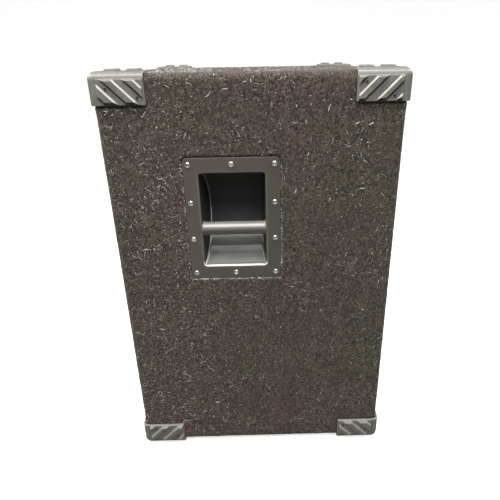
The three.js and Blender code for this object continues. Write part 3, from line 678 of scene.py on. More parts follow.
def handle_distance(points):
    """Distance to the handle plates' outlines, and far away off the side faces."""
    d = box_distance(points[:, 1:], PLATE_CENTRE[1:], PLATE_HALF, PLATE_RADIUS)
    return np.where(np.abs(points[:, 0]) > CARPET_HIGH[0] - ON_FACE, d, FAR_OFF)


def input_distance(points):
    centre = (INPUT_LOW + INPUT_HIGH) / 2
    half = (INPUT_HIGH - INPUT_LOW) / 2
    d = box_distance(points[:, ::2], centre[::2], half[::2], INPUT_RADIUS)
    return np.where(points[:, 1] > CARPET_HIGH[1] - ON_FACE, d, FAR_OFF)


def pole_distance(points):
    radius = (POLE_HIGH[0] - POLE_LOW[0]) / 2
    d = np.hypot(points[:, 0], points[:, 1]) - radius
    return np.where(points[:, 2] < CARPET_LOW[2] + ON_FACE, d, FAR_OFF)


def wander(points, scale, seed):
    """Smooth noise between about -1 and 1 at each point."""
    shift = Vector((seed * 17.3, seed * 5.1, seed * 9.7))
    return np.array([noise.noise(Vector(p) / scale + shift) for p in points])


UNDER = 5.0  # how far the carpet reaches under the plates that cover its cut edges
FOLD = 5.0  # radius of the fold into the grille recess
RECESS_HALF = np.array([228.0, 322.0])
RECESS_CENTRE_Z = (CARPET_LOW[2] + CARPET_HIGH[2]) / 2
FRAME_HALF = RECESS_HALF + FOLD
CARPET_STEP = 8.0  # about how far apart the mesh's lines are


def carpet_lines():
    plate_y = [PLATE_CENTRE[1] + s * PLATE_HALF[0] for s in (-1, 1)]
    plate_z = [PLATE_CENTRE[2] + s * PLATE_HALF[1] for s in (-1, 1)]
    guard_edge = np.array([GUARD_SHORT, GUARD_LONG, GUARD_SHORT]) - GUARD_PROUD
    xs = end_stops(CARPET_LOW[0], CARPET_HIGH[0], EDGE_RADIUS)
    xs += border_stops(CARPET_HIGH[0] - guard_edge[0], -1) + border_stops(CARPET_LOW[0] + guard_edge[0], 1)
    xs += [s * FRAME_HALF[0] for s in (-1, 1)]
    xs += [s * (INPUT_HIGH[0] - UNDER) for s in (-1, 1)] + [-POLE_CUT, POLE_CUT]
    ys = end_stops(CARPET_LOW[1], CARPET_HIGH[1], EDGE_RADIUS)
    ys += border_stops(CARPET_HIGH[1] - guard_edge[1], -1) + border_stops(CARPET_LOW[1] + guard_edge[1], 1)
    ys += border_stops(plate_y[0], -1) + border_stops(plate_y[1], 1)
    ys += [plate_y[0] + UNDER, plate_y[1] - UNDER, -POLE_CUT, POLE_CUT]
    zs = end_stops(CARPET_LOW[2], CARPET_HIGH[2], EDGE_RADIUS)
    zs += border_stops(CARPET_HIGH[2] - guard_edge[2], -1) + border_stops(CARPET_LOW[2] + guard_edge[2], 1)
    zs += border_stops(plate_z[0], -1) + border_stops(plate_z[1], 1)
    zs += [plate_z[0] + UNDER, plate_z[1] - UNDER]
    zs += [RECESS_CENTRE_Z + s * FRAME_HALF[1] for s in (-1, 1)]
    zs += [INPUT_LOW[2] + UNDER, INPUT_HIGH[2] - UNDER]
    return [spaced({round(v, 3) for v in stops}, CARPET_STEP) for stops in (xs, ys, zs)]


def carpet_hole(axis, sign, mid):
    """Whether the carpet is cut away round a point of one of the box's six faces."""
    x, y, z = mid
    if axis == 0:
        return np.all(np.abs(mid[1:] - PLATE_CENTRE[1:]) < PLATE_HALF - UNDER)
    if axis == 1 and sign < 0:
        return abs(x) < FRAME_HALF[0] and abs(z - RECESS_CENTRE_Z) < FRAME_HALF[1]
    if axis == 1:
        return abs(x) < INPUT_HIGH[0] - UNDER and INPUT_LOW[2] + UNDER < z < INPUT_HIGH[2] - UNDER
    return sign < 0 and abs(x) < POLE_CUT and abs(y) < POLE_CUT


def carpet_sheet():
    """The carpet's outer surface as an open sheet: six faces with rounded edges, and the recess."""
    lines = carpet_lines()
    parts = []
    for axis in range(3):
        a, b = [i for i in range(3) if i != axis]
        grid_a, grid_b = np.meshgrid(lines[a], lines[b], indexing="ij")
        for sign in (-1, 1):
            points = np.zeros((grid_a.size, 3))
            points[:, a] = grid_a.ravel()
            points[:, b] = grid_b.ravel()
            points[:, axis] = (CARPET_HIGH if sign > 0 else CARPET_LOW)[axis]
            n_b = len(lines[b])
            faces = []
            turn = (sign > 0) == (axis != 1)
            for i in range(len(lines[a]) - 1):
                for j in range(n_b - 1):
                    mid = (points[i * n_b + j] + points[(i + 1) * n_b + j + 1]) / 2
                    if carpet_hole(axis, sign, mid):
                        continue
                    quad = (i * n_b + j, (i + 1) * n_b + j, (i + 1) * n_b + j + 1, i * n_b + j + 1)
                    faces.append(quad if turn else quad[::-1])
            core = np.clip(points, CARPET_LOW + EDGE_RADIUS, CARPET_HIGH - EDGE_RADIUS)
            out = points - core
            out /= np.linalg.norm(out, axis=1, keepdims=True)
            parts.append((core + EDGE_RADIUS * out, faces))
    parts.append(recess_fold(lines[0], lines[2]))
    return join_parts(parts)


def recess_fold(xs, zs):
    """The carpet's turn from the front frame into the recess, down to the baffle board."""
    across = xs[np.abs(xs) <= FRAME_HALF[0] + 1e-3]
    upright = zs[np.abs(zs - RECESS_CENTRE_Z) <= FRAME_HALF[1] + 1e-3] - RECESS_CENTRE_Z
    w, h = FRAME_HALF
    loop = [(x, -h) for x in across[:-1]] + [(w, z) for z in upright[:-1]]
    loop += [(x, h) for x in across[:0:-1]] + [(-w, z) for z in upright[:0:-1]]
    loop = np.array(loop)
    places = [(FOLD * math.sin(t), FOLD * (1 - math.cos(t))) for t in np.radians([0, 18, 36, 54, 72, 90])]
    places += [(FOLD, d) for d in (12.0, 22.0, BAFFLE_FRONT - 0.3 - CARPET_LOW[1])]
    rings = []
    for inset, depth in places:
        scale = (FRAME_HALF - inset) / FRAME_HALF
        y = np.full(len(loop), CARPET_LOW[1] + depth)
        rings.append(np.c_[loop[:, 0] * scale[0], y, RECESS_CENTRE_Z + loop[:, 1] * scale[1]])
    verts, faces = skin(rings)
    return verts, [f[::-1] for f in faces]


def merged_points(verts, faces):
    """Which points stay when those that coincide are merged, and the faces that keep three corners."""
    keys = np.round(np.asarray(verts) * 1000).astype(np.int64)
    _, first, index = np.unique(keys, axis=0, return_index=True, return_inverse=True)
    index = index.ravel()
    merged = []
    for face in faces:
        loop = [index[i] for i in face]
        loop = [v for k, v in enumerate(loop) if v != loop[k - 1]]
        if len(loop) > 2:
            merged.append(tuple(loop))
    return first, merged


def welded_arrays(verts, faces):
    first, merged = merged_points(verts, faces)
    return np.asarray(verts)[first], merged


def sheet_normals(verts, faces):
    mesh = raw_mesh("scratch", verts, faces)
    normals = np.zeros(len(verts) * 3, np.float32)
    mesh.vertex_normals.foreach_get("vector", normals)
    bpy.data.meshes.remove(mesh)
    return normals.reshape(-1, 3).astype(float)


def thickened(outer, inner, faces):
    """A closed shell from matching outer and inner points, walled along the sheet's open edges."""
    n = len(outer)
    border = {}
    for face in faces:
        for a, b in zip(face, face[1:] + face[:1]):
            if (b, a) in border:
                del border[(b, a)]
            else:
                border[(a, b)] = True
    walls = [(b, a, a + n, b + n) for a, b in border]
    back = [tuple(i + n for i in face)[::-1] for face in faces]
    return np.concatenate([outer, inner]), list(faces) + back + walls


def carpet_height(points):
    """How far the pile stands above the plain box at each point."""
    height = 0.28 * wander(points, 70, 1) + 0.30 * wander(points, 17, 2) + 0.14 * wander(points, 7, 3)
    clear = np.minimum.reduce([guard_distance(points), handle_distance(points), input_distance(points)])
    height *= np.clip(clear / 4, 0, 1)
    height += pressed_edge(guard_distance(points), 0.9, 0.55)
    height += pressed_edge(handle_distance(points), 3.1, 0.5)
    height += pressed_edge(input_distance(points), 2.4, 0.4)
    height += pressed_edge(pole_distance(points), 2.8, 0.3)
    return height


def build_carpet():
    verts, faces = welded_arrays(*carpet_sheet())
    normals = sheet_normals(verts, faces)
    outer = verts + normals * carpet_height(verts)[:, None]
    inner = verts - normals * (CARPET_THICK + 0.9)
    shell_verts, shell_faces = thickened(outer, inner, faces)
    carpet = make_piece("carpet", shell_verts, shell_faces, "carpet", sharp=60)
    dressed(carpet, ["carpet_cover"])
    return outer, normals, faces


# ------------------------------------------------------------------ fibres, hairs and lint


def strands(points, normals, rng, length, width, lift, bend, steps, curl=0.0):
    """Flat curved strands lying on a surface, one per point."""
    n = len(points)
    heading = rng.normal(size=(n, 3))
    heading -= normals * np.sum(heading * normals, axis=1, keepdims=True)
    heading /= np.linalg.norm(heading, axis=1, keepdims=True)
    aside = np.cross(normals, heading)
    size = rng.uniform(*length, size=(n, 1))
    wide = rng.uniform(*width, size=(n, 1))
    high = rng.uniform(*lift, size=(n, 1))
    curve = rng.normal(scale=bend, size=(n, 1))
    wave = rng.normal(scale=curl, size=(n, 1))
    rings = []
    for i in range(steps + 1):
        s = i / steps
        t = s - 0.5
        sway = curve * (4 * t * t - 0.5) + wave * math.sin(2.5 * math.pi * t)
        centre = points + heading * size * t + aside * size * sway
        centre = centre + normals * (high * (0.35 + 2.6 * s * (1 - s)))
        taper = wide * (1.0 if 0 < i < steps else 0.35)
        rings.append((centre - aside * taper / 2, centre + aside * taper / 2 + normals * taper * 0.35))
    verts = np.stack([p for pair in rings for p in pair], axis=1).reshape(-1, 3)
    per = 2 * (steps + 1)
    faces = []
    for k in range(n):
        for i in range(steps):
            a = k * per + 2 * i
            faces.append((a, a + 1, a + 3, a + 2))
    return verts, faces


def scatter(outer, normals, faces, rng, count, clear=2.0, weight=None):
    """Random places on the carpet, evenly by area, clear of the guards and plates."""
    quads = np.array([f for f in faces if len(f) == 4])
    corners = outer[quads]
    diagonals = corners[:, 2] - corners[:, 0], corners[:, 3] - corners[:, 1]
    area = np.linalg.norm(np.cross(*diagonals), axis=1)
    if weight is not None:
        area = area * weight(corners.mean(axis=1))
    picks = rng.choice(len(quads), size=count, p=area / area.sum())
    s, t = rng.random((count, 1)), rng.random((count, 1))
    c = corners[picks]
    points = (c[:, 0] * (1 - s) + c[:, 1] * s) * (1 - t) + (c[:, 3] * (1 - s) + c[:, 2] * s) * t
    ups = normals[quads[picks, 0]]
    fittings = (guard_distance, handle_distance, input_distance, pole_distance)
    apart = np.minimum.reduce([distance(points) for distance in fittings])
    keep = apart > clear
    return points[keep], ups[keep]


def strand_piece(name, parts, material):
    """Loose strands as one piece: no welding, so that each keeps its own colour."""
    verts, faces = join_parts(parts)
    obj = link(bpy.data.objects.new(name, raw_mesh(name, verts * MM, faces)))
    finish_piece(obj, material)
    return obj


def plate_border(rng, count):
    """Places just outside the handle plates' side and bottom edges, where lint gathers."""
    half = PLATE_HALF
    spots = []
    for _ in range(count):
        edge = rng.choice(3, p=(0.24, 0.24, 0.52))
        away = abs(rng.normal(scale=1.3)) + 0.6
        if edge < 2:
            spots.append(((half[0] + away) * (1 if edge else -1), rng.uniform(-half[1], half[1])))
        else:
            spots.append((rng.uniform(-half[0], half[0]), -half[1] - away * 0.7))
    spots = np.array(spots)
    side = np.where(rng.random(count) < 0.5, -1.0, 1.0)
    points = np.c_[side * CARPET_HIGH[0], spots[:, 0] + PLATE_CENTRE[1], spots[:, 1] + PLATE_CENTRE[2]]
    ups = np.c_[side, np.zeros(count), np.zeros(count)]
    return points + ups * np.maximum(carpet_height(points), -1.2)[:, None], ups


def build_fibres(outer, normals, faces):
    rng = np.random.default_rng(11)

    def matted(points):
        """Lint gathers in random drifts, and more of it near the front edge."""
        return np.clip(0.75 + 1.6 * wander(points, 55, 5) + 1.1 * (points[:, 1] < -80), 0.12, 2.6)

    places = scatter(outer, normals, faces, rng, 17000)
    pile = strands(*places, rng, (2.0, 7.0), (0.35, 0.8), (0.15, 0.6), 0.22, 2, curl=0.08)
    strand_piece("carpet_pile_fibres", [pile], "carpet_fibres")
    tufts = scatter(outer, normals, faces, rng, 12500, clear=1.0, weight=matted)
    light = strands(*tufts, rng, (1.2, 3.8), (0.5, 1.1), (0.2, 0.7), 0.3, 2)
    strand_piece("carpet_light_tufts", [light], "carpet_tufts")
    hairs = scatter(outer, normals, faces, rng, 1200, clear=4.0, weight=matted)
    specks = scatter(outer, normals, faces, rng, 7400, clear=1.5, weight=matted)
    long_hairs = scatter(outer, normals, faces, rng, 70, clear=8.0, weight=matted)
    parts = [
        strands(*hairs, rng, (4.0, 11.0), (0.38, 0.66), (0.4, 1.0), 0.08, 6, curl=0.015),
        strands(*long_hairs, rng, (12.0, 26.0), (0.30, 0.48), (0.5, 1.1), 0.15, 10, curl=0.03),
        strands(*specks, rng, (1.0, 3.8), (0.42, 0.92), (0.3, 0.7), 0.15, 2),
        strands(*plate_border(rng, 760), rng, (0.9, 3.2), (0.35, 0.8), (0.3, 0.9), 0.3, 2),
    ]
    strand_piece("carpet_lint", parts, "lint")


# ------------------------------------------------------------------ corner guards

RIB_AREA = ((14.0, 10.6), (80.6, 47.0))
PAD_SPAN = (11.7, 45.3)
BANDS = {
    "outer": [(-22.5, -2.3), (8.5, 27.5), (40.0, 57.4)],
    "inner": [(-60.0, -19.9), (-6.7, 9.0), (24.1, 42.5), (54.0, 90.0)],
}
WELLS = {"outer": [(27.3, 23.4), (71.3, 36.1)], "inner": [(26.8, 38.7), (69.5, 18.9)]}
TOP_PADS = [(24.0, 41.0), (56.0, 74.0)]
FREE_CORNER = 1.5
WELL_RADIUS = 3.1
WELL_FLOOR = 1.5  # above the skin
RIM = 0.8
GUARD_THICK = 3.8
GENTLE_FLANK = 0.95  # rise over run of each rib's flank towards the guard's vertex
STEEP_FLANK = 1.8  # and of its other flank
BLOCK_FLANK = 2.0  # and of the sides of the ribbed block and of the pads
END_FLANK = 0.8  # and of the ribs' long chamfers at the flange's free edge


def ridge_height(u, w, pattern):
    """Height of the diagonal ribs above the groove floor."""
    ridge = np.full(len(u), -1e3)
    for low, high in BANDS[pattern]:
        rise = np.minimum((u - w - low) * GENTLE_FLANK, (high - (u - w)) * STEEP_FLANK) / math.sqrt(2)
        ridge = np.maximum(ridge, rise)
    return np.clip(ridge, 0.0, RIB_TOP - GROOVE_FLOOR)


def rib_height(u, w, pattern):
    """Height of the side flange's ribbed block above the skin, negative off the block."""
    (u0, w0), (u1, w1) = RIB_AREA
    sides = np.minimum.reduce([u - u0, u1 - u, w - w0]) * BLOCK_FLANK
    ribs = GROOVE_FLOOR + ridge_height(u, w, pattern)
    return np.minimum.reduce([sides, (w1 - w) * END_FLANK, ribs])


def pad_height(u, v):
    """Height of the two pads on the top or bottom flange."""
    height = np.full(len(u), -1e3)
    for low, high in TOP_PADS:
        inside = np.minimum.reduce([u - low, high - u, v - PAD_SPAN[0], PAD_SPAN[1] - v])
        height = np.maximum(height, np.minimum(inside * BLOCK_FLANK, PAD_TOP))
    return height


def guard_lines(length):
    """Lines about a millimetre apart, closer across the rim at the free end."""
    return np.concatenate([np.arange(0.0, length - 1.5), length - np.array([1.5, RIM, 0.6, 0.25, 0.0])])


def round_free_corner(a, b, length_a, length_b):
    """Pulls the square grid corner in to a rounded one."""
    x = np.clip((a - (length_a - FREE_CORNER)) / FREE_CORNER, 0, 1)
    y = np.clip((b - (length_b - FREE_CORNER)) / FREE_CORNER, 0, 1)
    both = (x > 0) & (y > 0)
    far = np.hypot(x, y)
    scale = np.where(both, np.maximum(x, y) / np.maximum(far, 1e-9), 1.0)
    new_a = np.where(both, length_a - FREE_CORNER + x * scale * FREE_CORNER, a)
    new_b = np.where(both, length_b - FREE_CORNER + y * scale * FREE_CORNER, b)
    return new_a, new_b


def guard_shell(pattern):
    """One guard in corner coordinates: u along Y, v along X, w along Z, all inwards from its vertex."""
    lengths = np.array([GUARD_LONG, GUARD_SHORT, GUARD_SHORT])
    outer_parts, inner_parts = [], []
    for flat in (1, 2, 0):
        a, b = [i for i in range(3) if i != flat]
        lines_a, lines_b = guard_lines(lengths[a]), guard_lines(lengths[b])
        grid_a, grid_b = np.meshgrid(lines_a, lines_b, indexing="ij")
        points = np.zeros((grid_a.size, 3))
        points[:, a], points[:, b] = grid_a.ravel(), grid_b.ravel()
        to_edge = np.minimum(lengths[a] - points[:, a], lengths[b] - points[:, b])
        points[:, a], points[:, b] = round_free_corner(points[:, a], points[:, b], lengths[a], lengths[b])
        core = np.maximum(points, EDGE_RADIUS)
        out = points - core
        out /= np.maximum(np.linalg.norm(out, axis=1, keepdims=True), 1e-9)
        dip = RIM * (1 - np.sqrt(np.clip(1 - (1 - np.clip(to_edge / RIM, 0, 1)) ** 2, 0, 1)))
        skin_points = core + out * (EDGE_RADIUS - dip)[:, None]
        if flat == 1:
            raised = -rib_height(skin_points[:, 0], skin_points[:, 2], pattern)
            skin_points[:, 1] = np.minimum(skin_points[:, 1], raised)
        if flat == 2:
            raised = -pad_height(skin_points[:, 0], skin_points[:, 1])
            skin_points[:, 2] = np.minimum(skin_points[:, 2], raised)
        n_b = len(lines_b)
        faces = []
        for i in range(len(lines_a) - 1):
            for j in range(n_b - 1):
                p, q, r, s = i * n_b + j, (i + 1) * n_b + j, (i + 1) * n_b + j + 1, i * n_b + j + 1
                turn = [(p, q, r), (p, r, s)]
                faces.extend(t if flat != 1 else t[::-1] for t in turn)
        outer_parts.append((skin_points, faces))
        inner_parts.append((core + out * (EDGE_RADIUS - GUARD_THICK), faces))
    outer, faces = join_parts(outer_parts)
    inner, _ = join_parts(inner_parts)
    first, merged = merged_points(outer, faces)
    return thickened(outer[first], inner[first], merged)


def scratch_object(verts, faces):
    """A helper object for booleans, in millimetres, which carved() removes again."""
    mesh = raw_mesh("scratch", verts, faces)
    clean_mesh(mesh, 1e-4)
    return link(bpy.data.objects.new("scratch", mesh))


def carved(verts, faces, cutters):
    """The solid's points and faces after cutting each (verts, faces) cutter out of it."""
    body = scratch_object(verts, faces)
    tools = [scratch_object(*c) for c in cutters]
    for tool in tools:
        modifier = body.modifiers.new("cut", "BOOLEAN")
        modifier.operation = "DIFFERENCE"
        modifier.solver = "EXACT"
        modifier.object = tool
    graph = bpy.context.evaluated_depsgraph_get()
    mesh = body.evaluated_get(graph).to_mesh()
    points = np.zeros(len(mesh.vertices) * 3, np.float32)
    mesh.vertices.foreach_get("co", points)
    out_faces = [tuple(p.vertices) for p in mesh.polygons]
    body.evaluated_get(graph).to_mesh_clear()
    for obj in [body] + tools:
        data = obj.data
        bpy.data.objects.remove(obj)
        bpy.data.meshes.remove(data)
    return points.reshape(-1, 3).astype(float), out_faces


def well_cutter(u, w):
    """The space of a screw's well at a place on the side flange, with a flared mouth."""
    mouth = WELL_RADIUS + 0.9
    profile = [(0, -8), (mouth, -8), (mouth, -4.2), (WELL_RADIUS, -3.4), (WELL_RADIUS, -WELL_FLOOR)]
    profile.append((0, -WELL_FLOOR))
    return lathe(profile, (u, 0, w), "y", 40)


def from_corner(points, side_x, side_y, side_z):
    """Points in a guard's corner coordinates, as points in the CAD's frame."""
    high, low = CARPET_HIGH + GUARD_PROUD, CARPET_LOW - GUARD_PROUD
    x = side_x * (high[0] - points[:, 1])
    y = side_y * (high[1] - points[:, 0])
    z = (high[2] - points[:, 2]) if side_z > 0 else (low[2] + points[:, 2])
    return np.c_[x, y, z]


BOX_SIGNS = [(x, y, z) for z in (-1, 1) for x, y in ((-1, -1), (1, -1), (1, 1), (-1, 1))]
BOX_FACES = [(3, 2, 1, 0), (4, 5, 6, 7), (0, 1, 5, 4), (1, 2, 6, 5), (2, 3, 7, 6), (3, 0, 4, 7)]


def cross_screw(head, height, shank, length, recess, segments=36):
    """A cross-recessed screw along +Z, with the underside of its head at 0."""
    profile = [[0.0, height]]
    for t in np.radians([6, 22, 38, 54, 68, 80, 90]):
        profile.append([head * math.sin(t), height * (0.42 + 0.58 * math.cos(t))])
    profile += [[head, 0.0], [shank, 0.0], [shank, -length + 2 * shank], [0.0, -length]]
    body = lathe(profile, (0, 0, 0), "z", segments)
    blades = []
    for turn in (0.0, math.pi / 2):
        c, s = math.cos(turn), math.sin(turn)
        corners = []
        for z, half, wide in ((height - recess[1], 0.45, 0.32), (height + 1, recess[0] + 0.4, 0.62)):
            for a, b in ((-half, -wide), (half, -wide), (half, wide), (-half, wide)):
                corners.append([a * head * c - b * s, a * head * s + b * c, z])
        blades.append((np.array(corners), BOX_FACES))
    return carved(*body, blades)


def aimed(points, place, direction, turn=0.0):
    """Turns points made along +Z to look along a direction, and moves them to a place."""
    spin = Matrix.Rotation(turn, 3, "Z")
    face = Vector((0, 0, 1)).rotation_difference(Vector(direction)).to_matrix()
    matrix = np.array(face @ spin)
    return np.asarray(points) @ matrix.T + np.asarray(place, float)


def screw_group(name, prototype, places, material, nodes=()):
    """One piece holding a copy of a screw at every (place, direction)."""
    rng = np.random.default_rng(len(name))
    verts, faces = prototype
    parts = [(aimed(verts, p, d, rng.uniform(0, math.pi)), faces) for p, d in places]
    dressed(make_piece(name, *join_parts(parts), material, sharp=35), nodes)


def build_guards():
    screw = cross_screw(2.0, 1.2, 1.3, 15.0, (0.42, 0.9), 28)
    shells = {}
    for pattern in BANDS:
        shells[pattern] = carved(*guard_shell(pattern), [well_cutter(u, w) for u, w in WELLS[pattern]])
    places = []
    for side_x, x_name in ((1, "right"), (-1, "left")):
        for side_y, y_name in ((-1, "front"), (1, "rear")):
            for side_z, z_name in ((1, "top"), (-1, "bottom")):
                pattern = "outer" if side_y * side_z < 0 else "inner"
                verts, faces = shells[pattern]
                name = f"{y_name}_{z_name}_{x_name}"
                placed = from_corner(verts, side_x, side_y, side_z)
                guard = make_piece("guard_" + name, placed, faces, "corner_plastic", sharp=50)
                dressed(guard, ["corner_" + name])
                wells = np.array([[u, -WELL_FLOOR, w] for u, w in WELLS[pattern]])
                for place in from_corner(wells, side_x, side_y, side_z):
                    places.append((place, (side_x, 0, 0)))
    screw_group("guard_screws", screw, places, "black_screw")


# ------------------------------------------------------------------ handles


def pan_rings():
    """(depth, half width, half height, corner radius) from the plate's outer edge to the scoop's bottom."""
    w, h = PLATE_HALF
    round_edge = 1.0
    rings = [(1.6, w, h, PLATE_RADIUS)]
    for t in np.radians([0, 22, 45, 67, 90]):
        inset = round_edge * (1 - math.cos(t))
        rings.append((round_edge * (1 - math.sin(t)), w - inset, h - inset, PLATE_RADIUS - inset))
    flat_from = np.array([w - round_edge, h - round_edge, PLATE_RADIUS - round_edge])
    flat_to = np.array([*(MOUTH_HALF + LIP), SCOOP_FILLET + LIP])
    for i in range(1, 7):
        size = flat_from + (flat_to - flat_from) * i / 6
        rings.append((0.0, *size))
    for t in np.radians([15, 30, 45, 60, 75, 90]):
        out = LIP * (1 - math.sin(t))
        rings.append((LIP * (1 - math.cos(t)), MOUTH_HALF[0] + out, MOUTH_HALF[1] + out, SCOOP_FILLET + out))
    start = math.asin(LIP / MOUTH_HALF[1])
    steps = 34
    for i in range(1, steps + 1):
        t = start + (math.pi / 2 - start) * i / steps
        depth = MOUTH_HALF[1] * math.sin(t)
        half_h = MOUTH_HALF[1] * math.cos(t)
        rings.append((depth, MOUTH_HALF[0] - (depth - LIP) * DRAFT, half_h, min(SCOOP_FILLET, 0.95 * half_h)))
    return rings


def build_pan(side, side_name):
    rings = []
    for depth, half_w, half_h, radius in pan_rings():
        loop = rounded_loop(half_w, half_h, max(radius, 1e-4), 30, 40, 6)
        rings.append(on_side(depth, loop, PLATE_CENTRE[1:]))
    verts, faces = skin(rings)
    verts, faces = welded_arrays(verts, faces)
    name = "handle_pan_" + side_name
    pan = make_piece("recess_" + name, verts, faces, "handle_steel", sharp=40, mirror_x=side < 0)
    make_sheet_solid(pan, 0, side, 1.5, "handle_steel", 40)
    dressed(pan, [name])


def build_bar(side, side_name):
    centre = (BAR_LOW + BAR_HIGH) / 2
    axis_x, axis_z = centre[0], centre[2]
    flare, radius = (BAR_HIGH[2] - BAR_LOW[2]) / 2, 11.0
    flare_run = 7.0
    angles = np.linspace(0, 2 * math.pi, 72, endpoint=False)
    rings = []
    for end in (-1, 1):
        rows = []
        for s in np.linspace(0, 1, 10):
            r = radius + (flare - radius) * (1 - s) ** 2.2
            x = axis_x + r * np.cos(angles)
            reach = MOUTH_HALF[0] - (PLATE_FRONT - x - LIP) * DRAFT + 0.15
            y = PLATE_CENTRE[1] + end * (reach - s * flare_run)
            rows.append(np.c_[x, y, axis_z + r * np.sin(angles)])
        rings.extend(rows if end < 0 else rows[::-1])
    verts, faces = skin(rings, cap_start=True, cap_end=True)
    name = "handle_bar_" + side_name
    bar = make_piece("grip_" + name, verts, faces, "grip_steel", sharp=50, mirror_x=side < 0)
    dressed(bar, [name])


def build_handles():
    prototype = cross_screw(4.3, 2.7, 1.9, 15.0, (0.42, 1.5))
    for side, side_name in ((1, "right"), (-1, "left")):
        build_pan(side, side_name)
        build_bar(side, side_name)
        nodes = [f"handle_screw_{side_name}_{i}" for i in range(1, 11)]
        places = []
        for node in nodes:
            low, high = box_mm(node)
            place = (low + high) / 2
            place[0] = side * PLATE_FRONT
            places.append((place, (side, 0, 0)))
        screw_group("handle_screws_" + side_name, prototype, places, "screw_steel", nodes)


# ------------------------------------------------------------------ turned pieces


def eased(points, radius, closed=True, steps=3):
    """A profile with each corner rounded off by up to a radius; a closed one ends where it starts."""
    points = np.asarray(points, float)
    out = []
    for i, here in enumerate(points):
        if not closed and i in (0, len(points) - 1):
            out.append(here)
            continue
        before, after = points[i - 1] - here, points[(i + 1) % len(points)] - here
        lengths = np.linalg.norm(before), np.linalg.norm(after)
        reach = min(radius, 0.4 * lengths[0], 0.4 * lengths[1])
        a, b = here + before * reach / lengths[0], here + after * reach / lengths[1]
        for t in np.linspace(0, 1, steps + 1):
            out.append((1 - t) ** 2 * a + 2 * t * (1 - t) * here + t * t * b)
    if closed:
        out.append(out[0])
    return np.array(out)


def smooth_curve(points, steps=6):
    """A Catmull-Rom curve through profile points."""
    points = np.asarray(points, float)
    ends = np.vstack([2 * points[0] - points[1], points, 2 * points[-1] - points[-2]])
    out = []
    for i in range(1, len(ends) - 2):
        p0, p1, p2, p3 = ends[i - 1 : i + 3]
        for t in np.linspace(0, 1, steps, endpoint=False):
            out.append(
                0.5 * (2 * p1 + (p2 - p0) * t + (2 * p0 - 5 * p1 + 4 * p2 - p3) * t**2
                       + (3 * p1 - p0 - 3 * p2 + p3) * t**3)
            )
    out.append(points[-1])
    return np.array(out)


def sheet_profile(front, thick):
    """A closed profile from a curve and the same curve moved back."""
    front = np.asarray(front, float)
    back = front[::-1] + np.array([0.0, thick])
    return np.vstack([front, back, front[:1]])


def turned(name, profile, centre, material, nodes=(), axis="y", segments=96, body=BODY, sharp=35):
    """A turned piece that hides the CAD nodes it stands for."""
    verts, faces = lathe(profile, centre, axis, segments)
    piece = make_piece(name, verts, faces, material, body=body, sharp=sharp)
    dressed(piece, nodes)


def holed(name, solid, cutters, material, nodes=()):
    """A piece with cutters taken out of it."""
    dressed(make_piece(name, *carved(*solid, cutters), material, sharp=35), nodes)


def bolt_circle(radius, count):
    """Evenly spaced points round a circle, the first half a step from the start."""
    angles = [math.radians(180 / count + 360 / count * k) for k in range(count)]
    return [(radius * math.cos(a), radius * math.sin(a)) for a in angles]


def wire(name, points, radius, material):
    """A round wire along a smooth curve through points."""
    path = smooth_curve(points, 8)
    tangents = np.gradient(path, axis=0)
    tangents /= np.linalg.norm(tangents, axis=1, keepdims=True)
    side = np.cross(tangents[0], (0.3, 0.2, 0.93))
    rings = []
    a = np.linspace(0, 2 * math.pi, 10, endpoint=False)
    for centre, ahead in zip(path, tangents):
        side = side - ahead * np.dot(side, ahead)
        side /= np.linalg.norm(side)
        up = np.cross(ahead, side)
        rings.append(centre + radius * (np.cos(a)[:, None] * side + np.sin(a)[:, None] * up))
    piece = make_piece(name, *skin(rings, cap_start=True, cap_end=True), material, sharp=60)
    dressed(piece, ())


# ------------------------------------------------------------------ grille

GRILLE_SHEET = 1.5
GRILLE_BEND = 4.0
GRILLE_MARGIN = 6.0
GRILLE_CELL = 12.0  # two staggered holes to a square cell
GRILLE_HOLE = 3.1


def grille_screw_places():
    centre_z = (GRILLE_LOW[2] + GRILLE_HIGH[2]) / 2
    half_z = (GRILLE_HIGH[2] - GRILLE_LOW[2]) / 2 - 15
    x = GRILLE_HIGH[0] - 15
    return [(sx * x, GRILLE_LOW[1], centre_z + sz * half_z) for sx in (-1, 1) for sz in (-1, 0, 1)]


def quarter_hole(corner, heading):
    """Three points of an octagonal hole: the quarter turn that starts at a heading."""
    angles = heading + np.radians([0, 45, 90])
    return [corner + GRILLE_HOLE * np.array([math.cos(a), math.sin(a)]) for a in angles]


